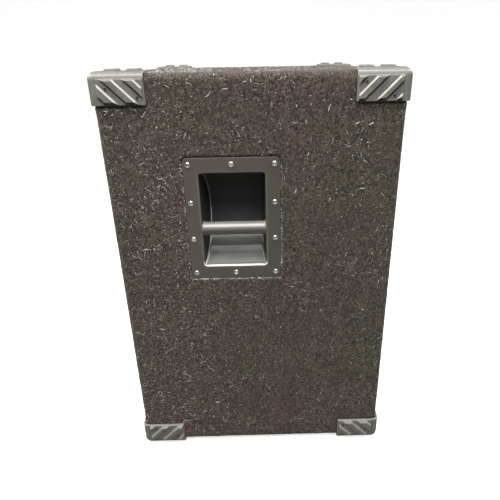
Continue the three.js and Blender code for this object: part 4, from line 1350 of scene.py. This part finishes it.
def build_grille():
    """A steel sheet with staggered holes, bent back round all four edges."""
    half = (GRILLE_HIGH - GRILLE_LOW)[[0, 2]] / 2
    centre_z = (GRILLE_LOW[2] + GRILLE_HIGH[2]) / 2
    field = half - GRILLE_BEND - GRILLE_MARGIN
    cells = np.round(2 * field / GRILLE_CELL).astype(int)
    step = field / cells  # half a cell
    screws = [(p[0], p[2] - centre_z) for p in grille_screw_places()]

    def is_open(i, j):
        if (i + j) % 2 or i in (0, 2 * cells[0]) or j in (0, 2 * cells[1]):
            return False
        x, z = i * step[0] - field[0], j * step[1] - field[1]
        return all(math.hypot(x - sx, z - sz) > 9.0 for sx, sz in screws)

    verts, faces = [], []
    corners = [((0, 0), 0.0), ((1, 0), math.pi / 2), ((1, 1), math.pi), ((0, 1), 1.5 * math.pi)]
    for i in range(2 * cells[0]):
        for j in range(2 * cells[1]):
            start = len(verts)
            for (di, dj), heading in corners:
                corner = np.array([(i + di) * step[0] - field[0], (j + dj) * step[1] - field[1]])
                if is_open(i + di, j + dj):
                    verts.extend(quarter_hole(corner, heading)[::-1])
                else:
                    verts.append(corner)
            faces.append(tuple(range(start, len(verts))))
    flat = np.array(verts)
    points = np.c_[flat[:, 0], np.full(len(flat), GRILLE_LOW[1]), flat[:, 1] + centre_z]

    xs = np.arange(0, 2 * cells[0] + 1) * step[0] - field[0]
    zs = np.arange(0, 2 * cells[1] + 1) * step[1] - field[1]
    loop = [(x, -field[1]) for x in xs[:-1]] + [(field[0], z) for z in zs[:-1]]
    loop += [(x, field[1]) for x in xs[:0:-1]] + [(-field[0], z) for z in zs[:0:-1]]
    loop = np.array(loop)
    reach = GRILLE_MARGIN + GRILLE_BEND
    places = [(0.0, 0.0), (GRILLE_MARGIN * 0.5, 0.0), (GRILLE_MARGIN, 0.0)]
    places += [(GRILLE_MARGIN + GRILLE_BEND * math.sin(t), GRILLE_BEND * (1 - math.cos(t)))
               for t in np.radians([22, 45, 67, 90])]
    places += [(reach, d) for d in (12.0, BAFFLE_FRONT - GRILLE_LOW[1] - 0.2)]
    rings = []
    for out, depth in places:
        grown = loop * (field + out) / field
        rings.append(np.c_[grown[:, 0], np.full(len(loop), GRILLE_LOW[1] + depth), grown[:, 1] + centre_z])
    verts, faces = join_parts([(points, faces), skin(rings)])
    grille = make_piece("perforated_front_grille", verts, faces, "grille_steel", sharp=30)
    make_sheet_solid(grille, 1, -1, GRILLE_SHEET, "grille_steel", 30)
    dressed(grille, ["front_grille"])
    screw = cross_screw(4.4, 2.4, 2.0, 26.0, (0.42, 1.3))
    screw_group("grille_screws", screw, [(p, (0, -1, 0)) for p in grille_screw_places()], "black_screw")


# ------------------------------------------------------------------ woofer

WOOFER_Z = (WOOFER_LOW[2] + WOOFER_HIGH[2]) / 2
WOOFER_AXIS = (0.0, BAFFLE_FRONT, WOOFER_Z)
FLANGE_RADIUS = WOOFER_HIGH[0]
SURROUND_SPAN = (164.5, 186.0)
SPIDER_SPAN = (33.1, 87.0)


def build_basket():
    """Pressed frame: flange, windowed wall, ledge for the spider and seat for the magnet."""
    profile = [
        (FLANGE_RADIUS, -4), (FLANGE_RADIUS, 0), (178, 0), (175, 14), (101, 78), (101, 96), (34, 96),
        (34, 92), (97, 92), (97, 81), (87, 81), (87, 78), (98, 78), (172, 11), (176, -4),
    ]
    solid = lathe(eased(profile, 2.0), WOOFER_AXIS, "y", 96)
    outline = eased([(-60, 22), (60, 22), (36, 72), (-36, 72)], 9.0, steps=4)[:-1]
    windows = []
    for k in range(6):
        turn = k * math.pi / 3
        rings = []
        for out in (70.0, 210.0):
            x = outline[:, 0] * math.cos(turn) + out * math.sin(turn)
            z = -outline[:, 0] * math.sin(turn) + out * math.cos(turn)
            rings.append(np.c_[x, outline[:, 1] + BAFFLE_FRONT, z + WOOFER_Z])
        windows.append(skin(rings, cap_start=True, cap_end=True))
    holed("woofer_frame_basket", solid, windows, "basket_steel", ["woofer_basket"])
    gasket = [(186.8, -5.4), (193.2, -5.4), (193.2, -4.05), (186.8, -4.05)]
    turned("woofer_gasket", eased(gasket, 0.4), WOOFER_AXIS, "gasket_card")
    places = [((x, BAFFLE_FRONT - 5.4, WOOFER_Z + z), (0, -1, 0)) for z, x in bolt_circle(190, 8)]
    bolt = cross_screw(3.3, 2.6, 1.8, 22.0, (0.45, 1.3), 32)
    screw_group("woofer_bolts", bolt, places, "black_screw")


def build_motor():
    plate = [(34, 96.1), (84, 96.1), (84, 104), (34, 104)]
    turned("woofer_front_plate", eased(plate, 1.0), WOOFER_AXIS, "motor_steel", ["woofer_top_plate"])
    magnet = [(45, 104), (88, 104), (88, 128), (45, 128)]
    turned("woofer_magnet_ring", eased(magnet, 2.2), WOOFER_AXIS, "ferrite", ["woofer_magnet"])
    yoke = [
        (12, 98), (30.9, 98), (30.9, 128), (80, 128), (80, 136), (68, 136), (64, 134.8), (30, 134.8),
        (26, 136), (12, 136),
    ]
    turned("woofer_yoke_and_pole", eased(yoke, 0.9), WOOFER_AXIS, "motor_steel", ["woofer_yoke"])


def build_cone():
    """The moving parts: ribbed paper cone, dust cap and voice coil."""
    front = smooth_curve([(164.2, -3.5), (140, 14), (110, 34), (80, 52), (55, 64), (33.2, 74)], 14)
    for rib in (68, 84, 100, 116, 132):
        front[:, 1] -= 0.5 * np.exp(-(((front[:, 0] - rib) / 1.5) ** 2))
    moving = "cone_assembly"
    turned("woofer_paper_cone", sheet_profile(front, 0.9), WOOFER_AXIS, "cone_paper",
           ["woofer_cone"], segments=128, body=moving, sharp=50)
    cap = smooth_curve([(0, 48), (20, 50.2), (36, 55.6), (46, 61.5), (50, 64.2)], 6)
    turned("woofer_dome_dust_cap", sheet_profile(cap, 0.8), WOOFER_AXIS, "dust_cap_paper",
           ["woofer_dust_cap"], body=moving, sharp=50)
    turns = [(32.8, 93)]
    for k in range(26):
        s = 94 + 0.55 * k
        turns += [(33.02, s + 0.1), (33.02, s + 0.4), (32.85, s + 0.52)]
    former = [(32.0, 72), (32.45, 72), (32.45, 93)] + turns
    former += [(32.45, 109), (32.45, 112), (32.0, 112), (32.0, 72)]
    turned("woofer_wound_voice_coil", former, WOOFER_AXIS, "coil_copper",
           ["woofer_voice_coil"], body=moving, sharp=50)


def build_suspension():
    """Surround and spider: fixed at the rim, carried by the cone at the inside."""
    roll = smooth_curve(
        [(186, -5.3), (179.5, -5.3), (177.5, -8.6), (172, -11.4), (166.5, -8.6), (164.6, -4.9)], 7)
    waves = [(r, 76.2 + 1.25 * math.cos(2 * math.pi * (r - 34) / 10.6)) for r in np.linspace(33.1, 84.5, 118)]
    waves += [(87.0, 76.9), (96.0, 76.9)]
    flexing = [
        ("woofer_cloth_surround", "woofer_surround", roll, 0.8, "surround_cloth", SURROUND_SPAN),
        ("woofer_corrugated_spider", "woofer_spider", waves, 0.7, "spider_cloth", SPIDER_SPAN),
    ]
    for name, node, curve, thick, material, (inner, outer) in flexing:
        verts, faces = lathe(sheet_profile(curve, thick), WOOFER_AXIS, "y", 128)
        ring = make_piece(name, verts, faces, material, body=None, sharp=50)
        dressed(ring, [node])
        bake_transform(ring)
        flex_radially(ring)


def flex_radially(piece):
    """Reads the ring's points in millimetres, and does nothing more with them."""
    count = len(piece.data.vertices)
    points = np.zeros(count * 3, np.float32)
    piece.data.vertices.foreach_get("co", points)
    points = points.reshape(-1, 3) / MM


# ------------------------------------------------------------------ horn, driver and ports

HORN_Z = (HORN_LOW[2] + HORN_HIGH[2]) / 2
HORN_AXIS = (0.0, BAFFLE_FRONT, HORN_Z)
HORN_HALF = (HORN_HIGH - HORN_LOW)[[0, 2]] / 2
HORN_MOUTH = np.array([123.0, 98.0])
HORN_THROAT = 12.7
HORN_LENGTH = 150.0
HORN_WALL = 3.0


def squircle(half, squareness, behind):
    """A loop between an ellipse and a rectangle, at a distance behind the baffle's front."""
    count = 112
    a = np.linspace(0, 2 * math.pi, count, endpoint=False)
    c, s = np.cos(a), np.sin(a)
    reach = (np.abs(c) ** squareness + np.abs(s) ** squareness) ** (-1 / squareness)
    return np.c_[c * reach * half[0], np.full(count, BAFFLE_FRONT + behind), HORN_Z + s * reach * half[1]]


def horn_ring(behind, grow):
    t = min(max(1 - behind / HORN_LENGTH, 0.0), 1.0)
    half = HORN_THROAT + (HORN_MOUTH - HORN_THROAT) * t**1.7 + grow
    return squircle(half, 2 + 6 * t, behind)


def build_horn():
    """A flare from a round throat to a rounded mouth, with a flange in front and a seat for its driver."""
    steps = np.linspace(0, HORN_LENGTH, 30)
    rings = [horn_ring(b, 0) for b in steps[::-1]]
    for t in np.radians([30, 60, 90]):
        lip = 1.6
        half = HORN_MOUTH + lip * (1 - math.cos(t))
        rings.append(squircle(half, 8 + 2 * math.sin(t), -2.4 - lip * math.sin(t)))
    for inset, behind in ((1.2, -4.0), (0.35, -3.65), (0.0, -2.8), (0.0, -0.05)):
        rings.append(squircle(HORN_HALF - inset, 22, behind))
    rings += [horn_ring(b, HORN_WALL) for b in np.linspace(0, HORN_LENGTH - 7, 24)]
    for r, behind in ((39.2, 144.0), (40, 144.8), (40, 149.2), (39.2, 150)):
        rings.append(squircle(np.array([r, r]), 2, behind))
    rings.append(rings[0])
    horn = make_piece("horn_flare_moulding", *skin(rings), "trim_plastic", sharp=40)
    dressed(horn, ["horn_flare"])
    x, z = HORN_HALF - 6.0
    around = [(sx * x, sz * z) for sx in (-1, 1) for sz in (-0.93, 0, 0.93)]
    around += [(sx * 0.5 * x, sz * z) for sx in (-1, 1) for sz in (-1, 1)]
    places = [((px, BAFFLE_FRONT - 4.0, HORN_Z + pz), (0, -1, 0)) for px, pz in around]
    screw_group("horn_screws", cross_screw(3.6, 2.4, 1.7, 20.0, (0.45, 1.2), 32), places, "black_screw")


def build_driver():
    profile = [
        (0, 200), (30, 200), (30, 186), (12.7, 186), (12.7, 150.2), (45, 150.2), (45, 158), (65, 158),
        (65, 180), (58, 180), (58, 190), (48, 190), (48, 202), (40, 207), (0, 208),
    ]
    turned("horn_compression_driver", eased(profile, 1.6, closed=False), HORN_AXIS, "basket_steel",
           ["compression_driver"])
    dome = smooth_curve([(0, 189), (8, 189.5), (15, 190.9), (21, 193.4), (23.6, 195.0)], 6)
    rim = [(24.4, 195.1), (25.4, 194.6), (26.4, 195.1), (28.0, 195.1)]
    profile = sheet_profile(np.vstack([dome, rim]), 0.6)
    turned("driver_dome_diaphragm", profile, HORN_AXIS, "diaphragm_metal",
           ["driver_diaphragm"], body="diaphragm", sharp=50)
    bolts = [((x, BAFFLE_FRONT + 190, HORN_Z + z), (0, 1, 0)) for x, z in bolt_circle(52, 4)]
    screw_group("driver_bolts", cross_screw(3.4, 3.0, 1.8, 10.0, (0.45, 1.4), 32), bolts, "black_screw")


def build_ports():
    for side_name in ("right", "left"):
        low, high = box_mm("port_tube_" + side_name)
        axis = ((low[0] + high[0]) / 2, BAFFLE_FRONT, (low[2] + high[2]) / 2)
        lip = [(44.5, -1.2), (44.1, -2.3), (43.0, -3.0), (42.0, -2.9), (40.9, -1.8), (40.2, 1.2)]
        profile = lip + [(40, 4), (40, 79.6), (40.4, 80), (42.1, 80), (42.5, 79.6), (42.5, 0), (44.5, 0)]
        turned("flared_port_tube_" + side_name, profile + lip[:1], axis, "trim_plastic",
               ["port_tube_" + side_name])


# ------------------------------------------------------------------ input plate, sockets and pole socket

DISH_HALF = np.array([55.0, 40.0])
DISH_DEPTH = 26.0
INPUT_Z = (INPUT_LOW[2] + INPUT_HIGH[2]) / 2
INPUT_FRONT = INPUT_HIGH[1]


def socket_axis(side_name):
    low, high = box_mm("speaker_socket_" + side_name)
    return np.array([(low[0] + high[0]) / 2, INPUT_FRONT - DISH_DEPTH, (low[2] + high[2]) / 2])


def build_input():
    """A dished steel plate on the back with two twist-lock sockets."""
    w, h = (INPUT_HIGH - INPUT_LOW)[[0, 2]] / 2
    lip, floor_fillet, thick = 2.4, 4.0, 1.8
    sizes = [(1.6, w, h, INPUT_RADIUS)]
    for t in np.radians([0, 30, 60, 90]):
        inset = 0.9 * (1 - math.cos(t))
        sizes.append((0.9 * (1 - math.sin(t)), w - inset, h - inset, INPUT_RADIUS))
    sizes += [(0.0, *(DISH_HALF + o), INPUT_RADIUS) for o in (12.0, lip + 2, lip)]
    for t in np.radians([30, 60, 90]):
        sizes.append((lip * (1 - math.cos(t)), *(DISH_HALF + lip * (1 - math.sin(t))), 5.0))
    slope = math.tan(math.radians(3))
    wall_end = DISH_DEPTH - floor_fillet
    sizes += [(d, *(DISH_HALF - (d - lip) * slope), 5.0) for d in np.linspace(6, wall_end, 5)]
    base = DISH_HALF - (wall_end - lip) * slope
    sizes += [(wall_end + floor_fillet * math.sin(t), *(base - floor_fillet * (1 - math.cos(t))), 5.0)
              for t in np.radians([22, 45, 67, 90])]
    rings = []
    for depth, half_w, half_h, radius in sizes:
        loop = rounded_loop(half_w, half_h, radius, 26, 22, 5)
        rings.append(np.c_[loop[:, 0], np.full(len(loop), INPUT_FRONT - depth), INPUT_Z + loop[:, 1]])
    verts, faces = skin(rings, cap_end=True)
    normals = sheet_normals(verts, faces)
    if normals[-1, 1] < 0:
        normals = -normals
    solid = thickened(verts, verts - normals * thick, faces)
    hole = [(0, -9), (12.3, -9), (12.3, 6), (0, 6)]
    cutters = [lathe(hole, socket_axis(side_name), "y", 48) for side_name in ("right", "left")]
    holed("dished_input_plate", solid, cutters, "input_steel", ["input_plate"])
    for side_name in ("right", "left"):
        profile = [
            (0, -20), (11.7, -20), (11.7, 0.05), (15, 0.05), (15, 2.5), (13.2, 2.5), (12.6, 2.0), (11.6, 2.0),
            (11, 1.6), (11, -12), (5, -12), (5, 0.5), (0, 0.5),
        ]
        body = lathe(eased(profile, 0.5, closed=False), socket_axis(side_name), "y", 72)
        notches = []
        for k in range(3):
            a = math.radians(90 + 120 * k)
            block = np.array(BOX_SIGNS) * np.array([2.2, 16, 5.0]) / 2 + np.array([0, -6.0, 11.0])
            x = block[:, 0] * math.cos(a) + block[:, 2] * math.sin(a)
            z = -block[:, 0] * math.sin(a) + block[:, 2] * math.cos(a)
            notches.append((np.c_[x, block[:, 1], z] + socket_axis(side_name), BOX_FACES))
        holed("twist_lock_socket_" + side_name, body, notches, "trim_plastic",
              ["speaker_socket_" + side_name])
    around = [(sx * 69, sz * 54) for sx in (-1, 1) for sz in (-1, 1)] + [(0, 54), (0, -54)]
    places = [((x, INPUT_FRONT, INPUT_Z + z), (0, 1, 0)) for x, z in around]
    screw = cross_screw(3.8, 2.4, 1.8, 16.0, (0.42, 1.3), 32)
    screw_group("input_plate_screws", screw, places, "black_screw")


def build_pole_socket():
    top, floor_z = POLE_HIGH[2], POLE_LOW[2]
    flange = POLE_HIGH[0]
    profile = [
        (0, top - 2.5), (18.25, top - 2.5), (18.25, floor_z + 1.5), (19.75, floor_z), (flange - 1, floor_z),
        (flange, floor_z + 1), (flange, floor_z + 2.7), (20.75, floor_z + 2.7), (20.75, top - 1),
        (19.75, top), (0, top),
    ]
    turned("stand_pole_cup", profile, (0, 0, 0), "basket_steel", ["pole_socket"], axis="z")
    places = [((x, y, floor_z), (0, 0, -1)) for x, y in bolt_circle(32, 4)]
    screw_group("pole_cup_screws", cross_screw(4.0, 2.4, 1.8, 14.0, (0.42, 1.3), 32), places, "black_screw")


# ------------------------------------------------------------------ crossover and wiring


def build_crossover():
    low, high = box_mm("crossover_board")
    z = (low[2] + high[2]) / 2
    face = high[1] - 12.0  # front of the board; its parts stand out from here towards the grille
    half = np.array([85.0, 55.0])
    outline = rounded_loop(*half, 4, 24, 16, 4)
    rings = []
    for inset, y in ((0.3, face), (0, face + 0.3), (0, face + 1.5), (0.3, face + 1.8)):
        scale = (half - inset) / half
        rings.append(np.c_[outline[:, 0] * scale[0], np.full(len(outline), y), z + outline[:, 1] * scale[1]])
    solid = skin(rings, cap_start=True, cap_end=True)
    board = make_piece("crossover_circuit_board", *solid, "circuit_board")
    dressed(board, ["crossover_board"])
    for name, radius, height, x, dz in (("large", 27, 22, -48, 8), ("small", 21, 18, 14, 22)):
        axis = (x, face, z + dz)
        wound = [(radius * 0.45, -1.5)]
        for k in range(int(height - 4)):
            wound += [(radius * 0.97, -1.7 - k), (radius * 0.97 - 0.35, -2.2 - k)]
        wound += [(radius * 0.45, 2.0 - height), (radius * 0.45, -1.5)]
        turned(f"crossover_{name}_coil", wound, axis, "coil_copper", segments=64, sharp=60)
        bore, core = radius * 0.3, radius * 0.42
        spool = [
            (bore, 0), (radius, 0), (radius, -1.4), (core, -1.4), (core, 1.6 - height),
            (radius, 1.6 - height), (radius, 0.2 - height), (bore, 0.2 - height),
        ]
        turned(f"crossover_{name}_bobbin", eased(spool, 0.4), axis, "trim_plastic", segments=64)
    for name, dz in (("upper", 26), ("lower", -6)):
        can = [(0, 0), (9, 0), (9, -28), (8.3, -29), (9, -30), (9, -33.2), (8.2, -33.8), (0, -33.6)]
        turned(f"crossover_{name}_capacitor", eased(can, 0.4, closed=False), (52, face, z + dz),
               "capacitor_sleeve", segments=48)
    resistor = make_piece("crossover_resistor", *rounded_block((50, 11, 12), 1.2, (13, face - 5.6, z - 36)),
                          "ceramic")
    dressed(resistor, ())
    spacer = [(2.1, 1.8), (4, 1.8), (4, 12), (2.1, 12)]
    for name, x, dz in (("a", -75, -45), ("b", 75, -45), ("c", -75, 45), ("d", 75, 45)):
        turned("crossover_standoff_" + name, eased(spacer, 0.3), (x, face, z + dz), "trim_plastic",
               segments=32)
    sockets_y = INPUT_FRONT - DISH_DEPTH - 20
    for color, shift in (("red", 0.0), ("black", 4.0)):
        to_input = [
            (-60 + shift, face - 1, z + 44), (-62 + shift, face - 14, z + 62),
            (-48 + shift, sockets_y - 14, INPUT_Z - 30), (-30 + shift, sockets_y - 12, INPUT_Z - 6),
            (-28 + shift, sockets_y + 0.5, INPUT_Z + shift - 2),
        ]
        to_horn = [
            (60 + shift, face - 1, z + 46), (84 + shift, face - 40, z + 120),
            (96 + shift, face - 110, HORN_Z - 130), (74 + shift, BAFFLE_FRONT + 190, HORN_Z - 60),
            (60, BAFFLE_FRONT + 172, HORN_Z - 26 + shift),
        ]
        to_woofer = [
            (-40 + shift, face - 1, z - 46), (-70 + shift, face - 60, z - 70),
            (-116 + shift, BAFFLE_FRONT + 150, z - 40), (-122 + shift, BAFFLE_FRONT + 96, WOOFER_Z - 12),
            (-101, BAFFLE_FRONT + 88, WOOFER_Z - 6 + shift),
        ]
        for name, points in (("input", to_input), ("horn", to_horn), ("woofer", to_woofer)):
            wire(f"{color}_wire_to_{name}", points, 1.3, color + "_wire")


def rounded_block(size, radius, centre):
    """A block with all edges rounded off, as rings along its long axis."""
    half = np.asarray(size, float) / 2
    rings = []
    for end in (-1, 1):
        rows = []
        for t in np.radians([0, 30, 60, 90]):
            inset = radius * (1 - math.sin(t))
            loop = rounded_loop(half[1] - inset, half[2] - inset, radius, 8, 8, 3)
            x = end * (half[0] - radius + radius * math.cos(t))
            rows.append(np.c_[np.full(len(loop), x), loop[:, 0], loop[:, 1]] + np.asarray(centre, float))
        rings.extend(rows if end < 0 else rows[::-1])
    return skin(rings, cap_start=True, cap_end=True)


# ------------------------------------------------------------------ wood panels

PANELS = ["side_panel_right", "side_panel_left", "top_panel", "bottom_panel", "back_panel", "centre_brace"]


def finish_panels():
    """The panels keep their CAD shape and take a plywood finish; the baffle is painted black."""
    for name in PANELS + ["baffle_board"]:
        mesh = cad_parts[name].data
        mesh.materials.clear()
        mesh.materials.append(MATERIALS["baffle_paint" if name == "baffle_board" else "plywood"])


# ------------------------------------------------------------------ stage, light and camera


def floor_finish():
    """Pale to the camera, and dim to other rays, so that it throws little light up at the object."""
    f = Finish("floor", roughness=0.9)
    path = f.tree.nodes.new("ShaderNodeLightPath")
    seen = path.outputs["Is Camera Ray"]
    pale = f.ramp(f.noise(3, 2.0), [(0.3, 0.78), (0.7, 0.80)])
    f.set("Base Color", f.mix(seen, 0.25, pale))
    f.set("Emission Color", f.mix(seen, 0.0, 1.0))
    f.set("Emission Strength", 0.70)
    return f.material


def build_stage():
    """A plain pale floor that curves up into a backdrop on every side of the object."""
    near, far, height, segments = 2.6, 4.2, 2.4, 96
    profile = [(r, 0.0) for r in (0.4, 0.9, 1.6, near)]
    for t in np.radians([15, 30, 45, 60, 75, 90]):
        profile.append((near + (far - near) * math.sin(t), height * (1 - math.cos(t))))
    profile.append((far, 5.0))
    a = np.linspace(0, 2 * math.pi, segments, endpoint=False)
    below = 0.0005  # keeps the floor off the guards' undersides
    rings = [np.c_[r * np.cos(a), r * np.sin(a), np.full(segments, z - below)] for r, z in profile]
    mesh = raw_mesh("floor", *skin(rings, cap_start=True))
    mesh.polygons.foreach_set("use_smooth", [True] * len(mesh.polygons))
    floor = link(bpy.data.objects.new("floor", mesh))
    floor.data.materials.append(floor_finish())


def area_light(name, place, target, size, power):
    data = bpy.data.lights.new(name, "AREA")
    data.shape = "RECTANGLE"
    data.size, data.size_y = size
    data.energy = power
    light = link(bpy.data.objects.new(name, data))
    light.location = place
    aim = Vector(target) - Vector(place)
    light.rotation_euler = aim.to_track_quat("-Z", "Y").to_euler()


def build_light():
    """One large soft light high over the handle side, fills, and a world that is white to the camera."""
    area_light("key", (0.90, -0.05, 2.05), (0.22, 0.0, 0.45), (1.7, 1.5), 76)
    area_light("front_fill", (-0.2, -2.2, 1.7), (0, 0, 0.4), (1.6, 1.2), 42)
    area_light("side_fill", (2.3, 0.2, 1.1), (0, 0, 0.4), (1.4, 1.0), 2.5)
    area_light("rear_fill", (-1.2, 2.1, 1.7), (0, 0, 0.4), (1.6, 1.2), 40)
    world = bpy.data.worlds.new("studio")
    world.use_nodes = True
    tree = world.node_tree
    path = tree.nodes.new("ShaderNodeLightPath")
    strength = tree.nodes.new("ShaderNodeMapRange")
    strength.inputs["To Min"].default_value = 0.06
    strength.inputs["To Max"].default_value = 1.0
    tree.links.new(path.outputs["Is Camera Ray"], strength.inputs["Value"])
    tree.links.new(strength.outputs["Result"], tree.nodes["Background"].inputs["Strength"])
    tree.nodes["Background"].inputs["Color"].default_value = (1.0, 1.0, 1.0, 1.0)
    bpy.context.scene.world = world


def build_camera():
    """The photograph's view: close to the handle side, from above, slightly rolled."""
    place = Vector((0.9394, 0.0135, 0.7191))
    yaw, pitch, roll = (math.radians(a) for a in (0.865, 23.242, 0.917))
    forward = Vector((-math.cos(yaw) * math.cos(pitch), math.sin(yaw) * math.cos(pitch), -math.sin(pitch)))
    level_right = Vector((math.sin(yaw), math.cos(yaw), 0))
    level_down = forward.cross(level_right)
    right = math.cos(roll) * level_right + math.sin(roll) * level_down
    down = -math.sin(roll) * level_right + math.cos(roll) * level_down
    data = bpy.data.cameras.new("camera")
    data.lens = 31.964
    data.shift_x = -0.0402
    data.sensor_width = 36.0
    data.clip_start = 0.01
    camera = link(bpy.data.objects.new("camera", data))
    axes = Matrix((right, -down, -forward)).transposed().to_4x4()
    camera.matrix_world = Matrix.Translation(place) @ axes
    bpy.context.scene.camera = camera
    bpy.context.scene.view_settings.view_transform = "Standard"


sheet = build_carpet()
build_fibres(*sheet)
build_guards()
build_handles()
build_grille()
build_basket()
build_motor()
build_cone()
build_suspension()
build_horn()
build_driver()
build_ports()
build_input()
build_pole_socket()
build_crossover()
finish_panels()
build_stage()
build_light()
build_camera()
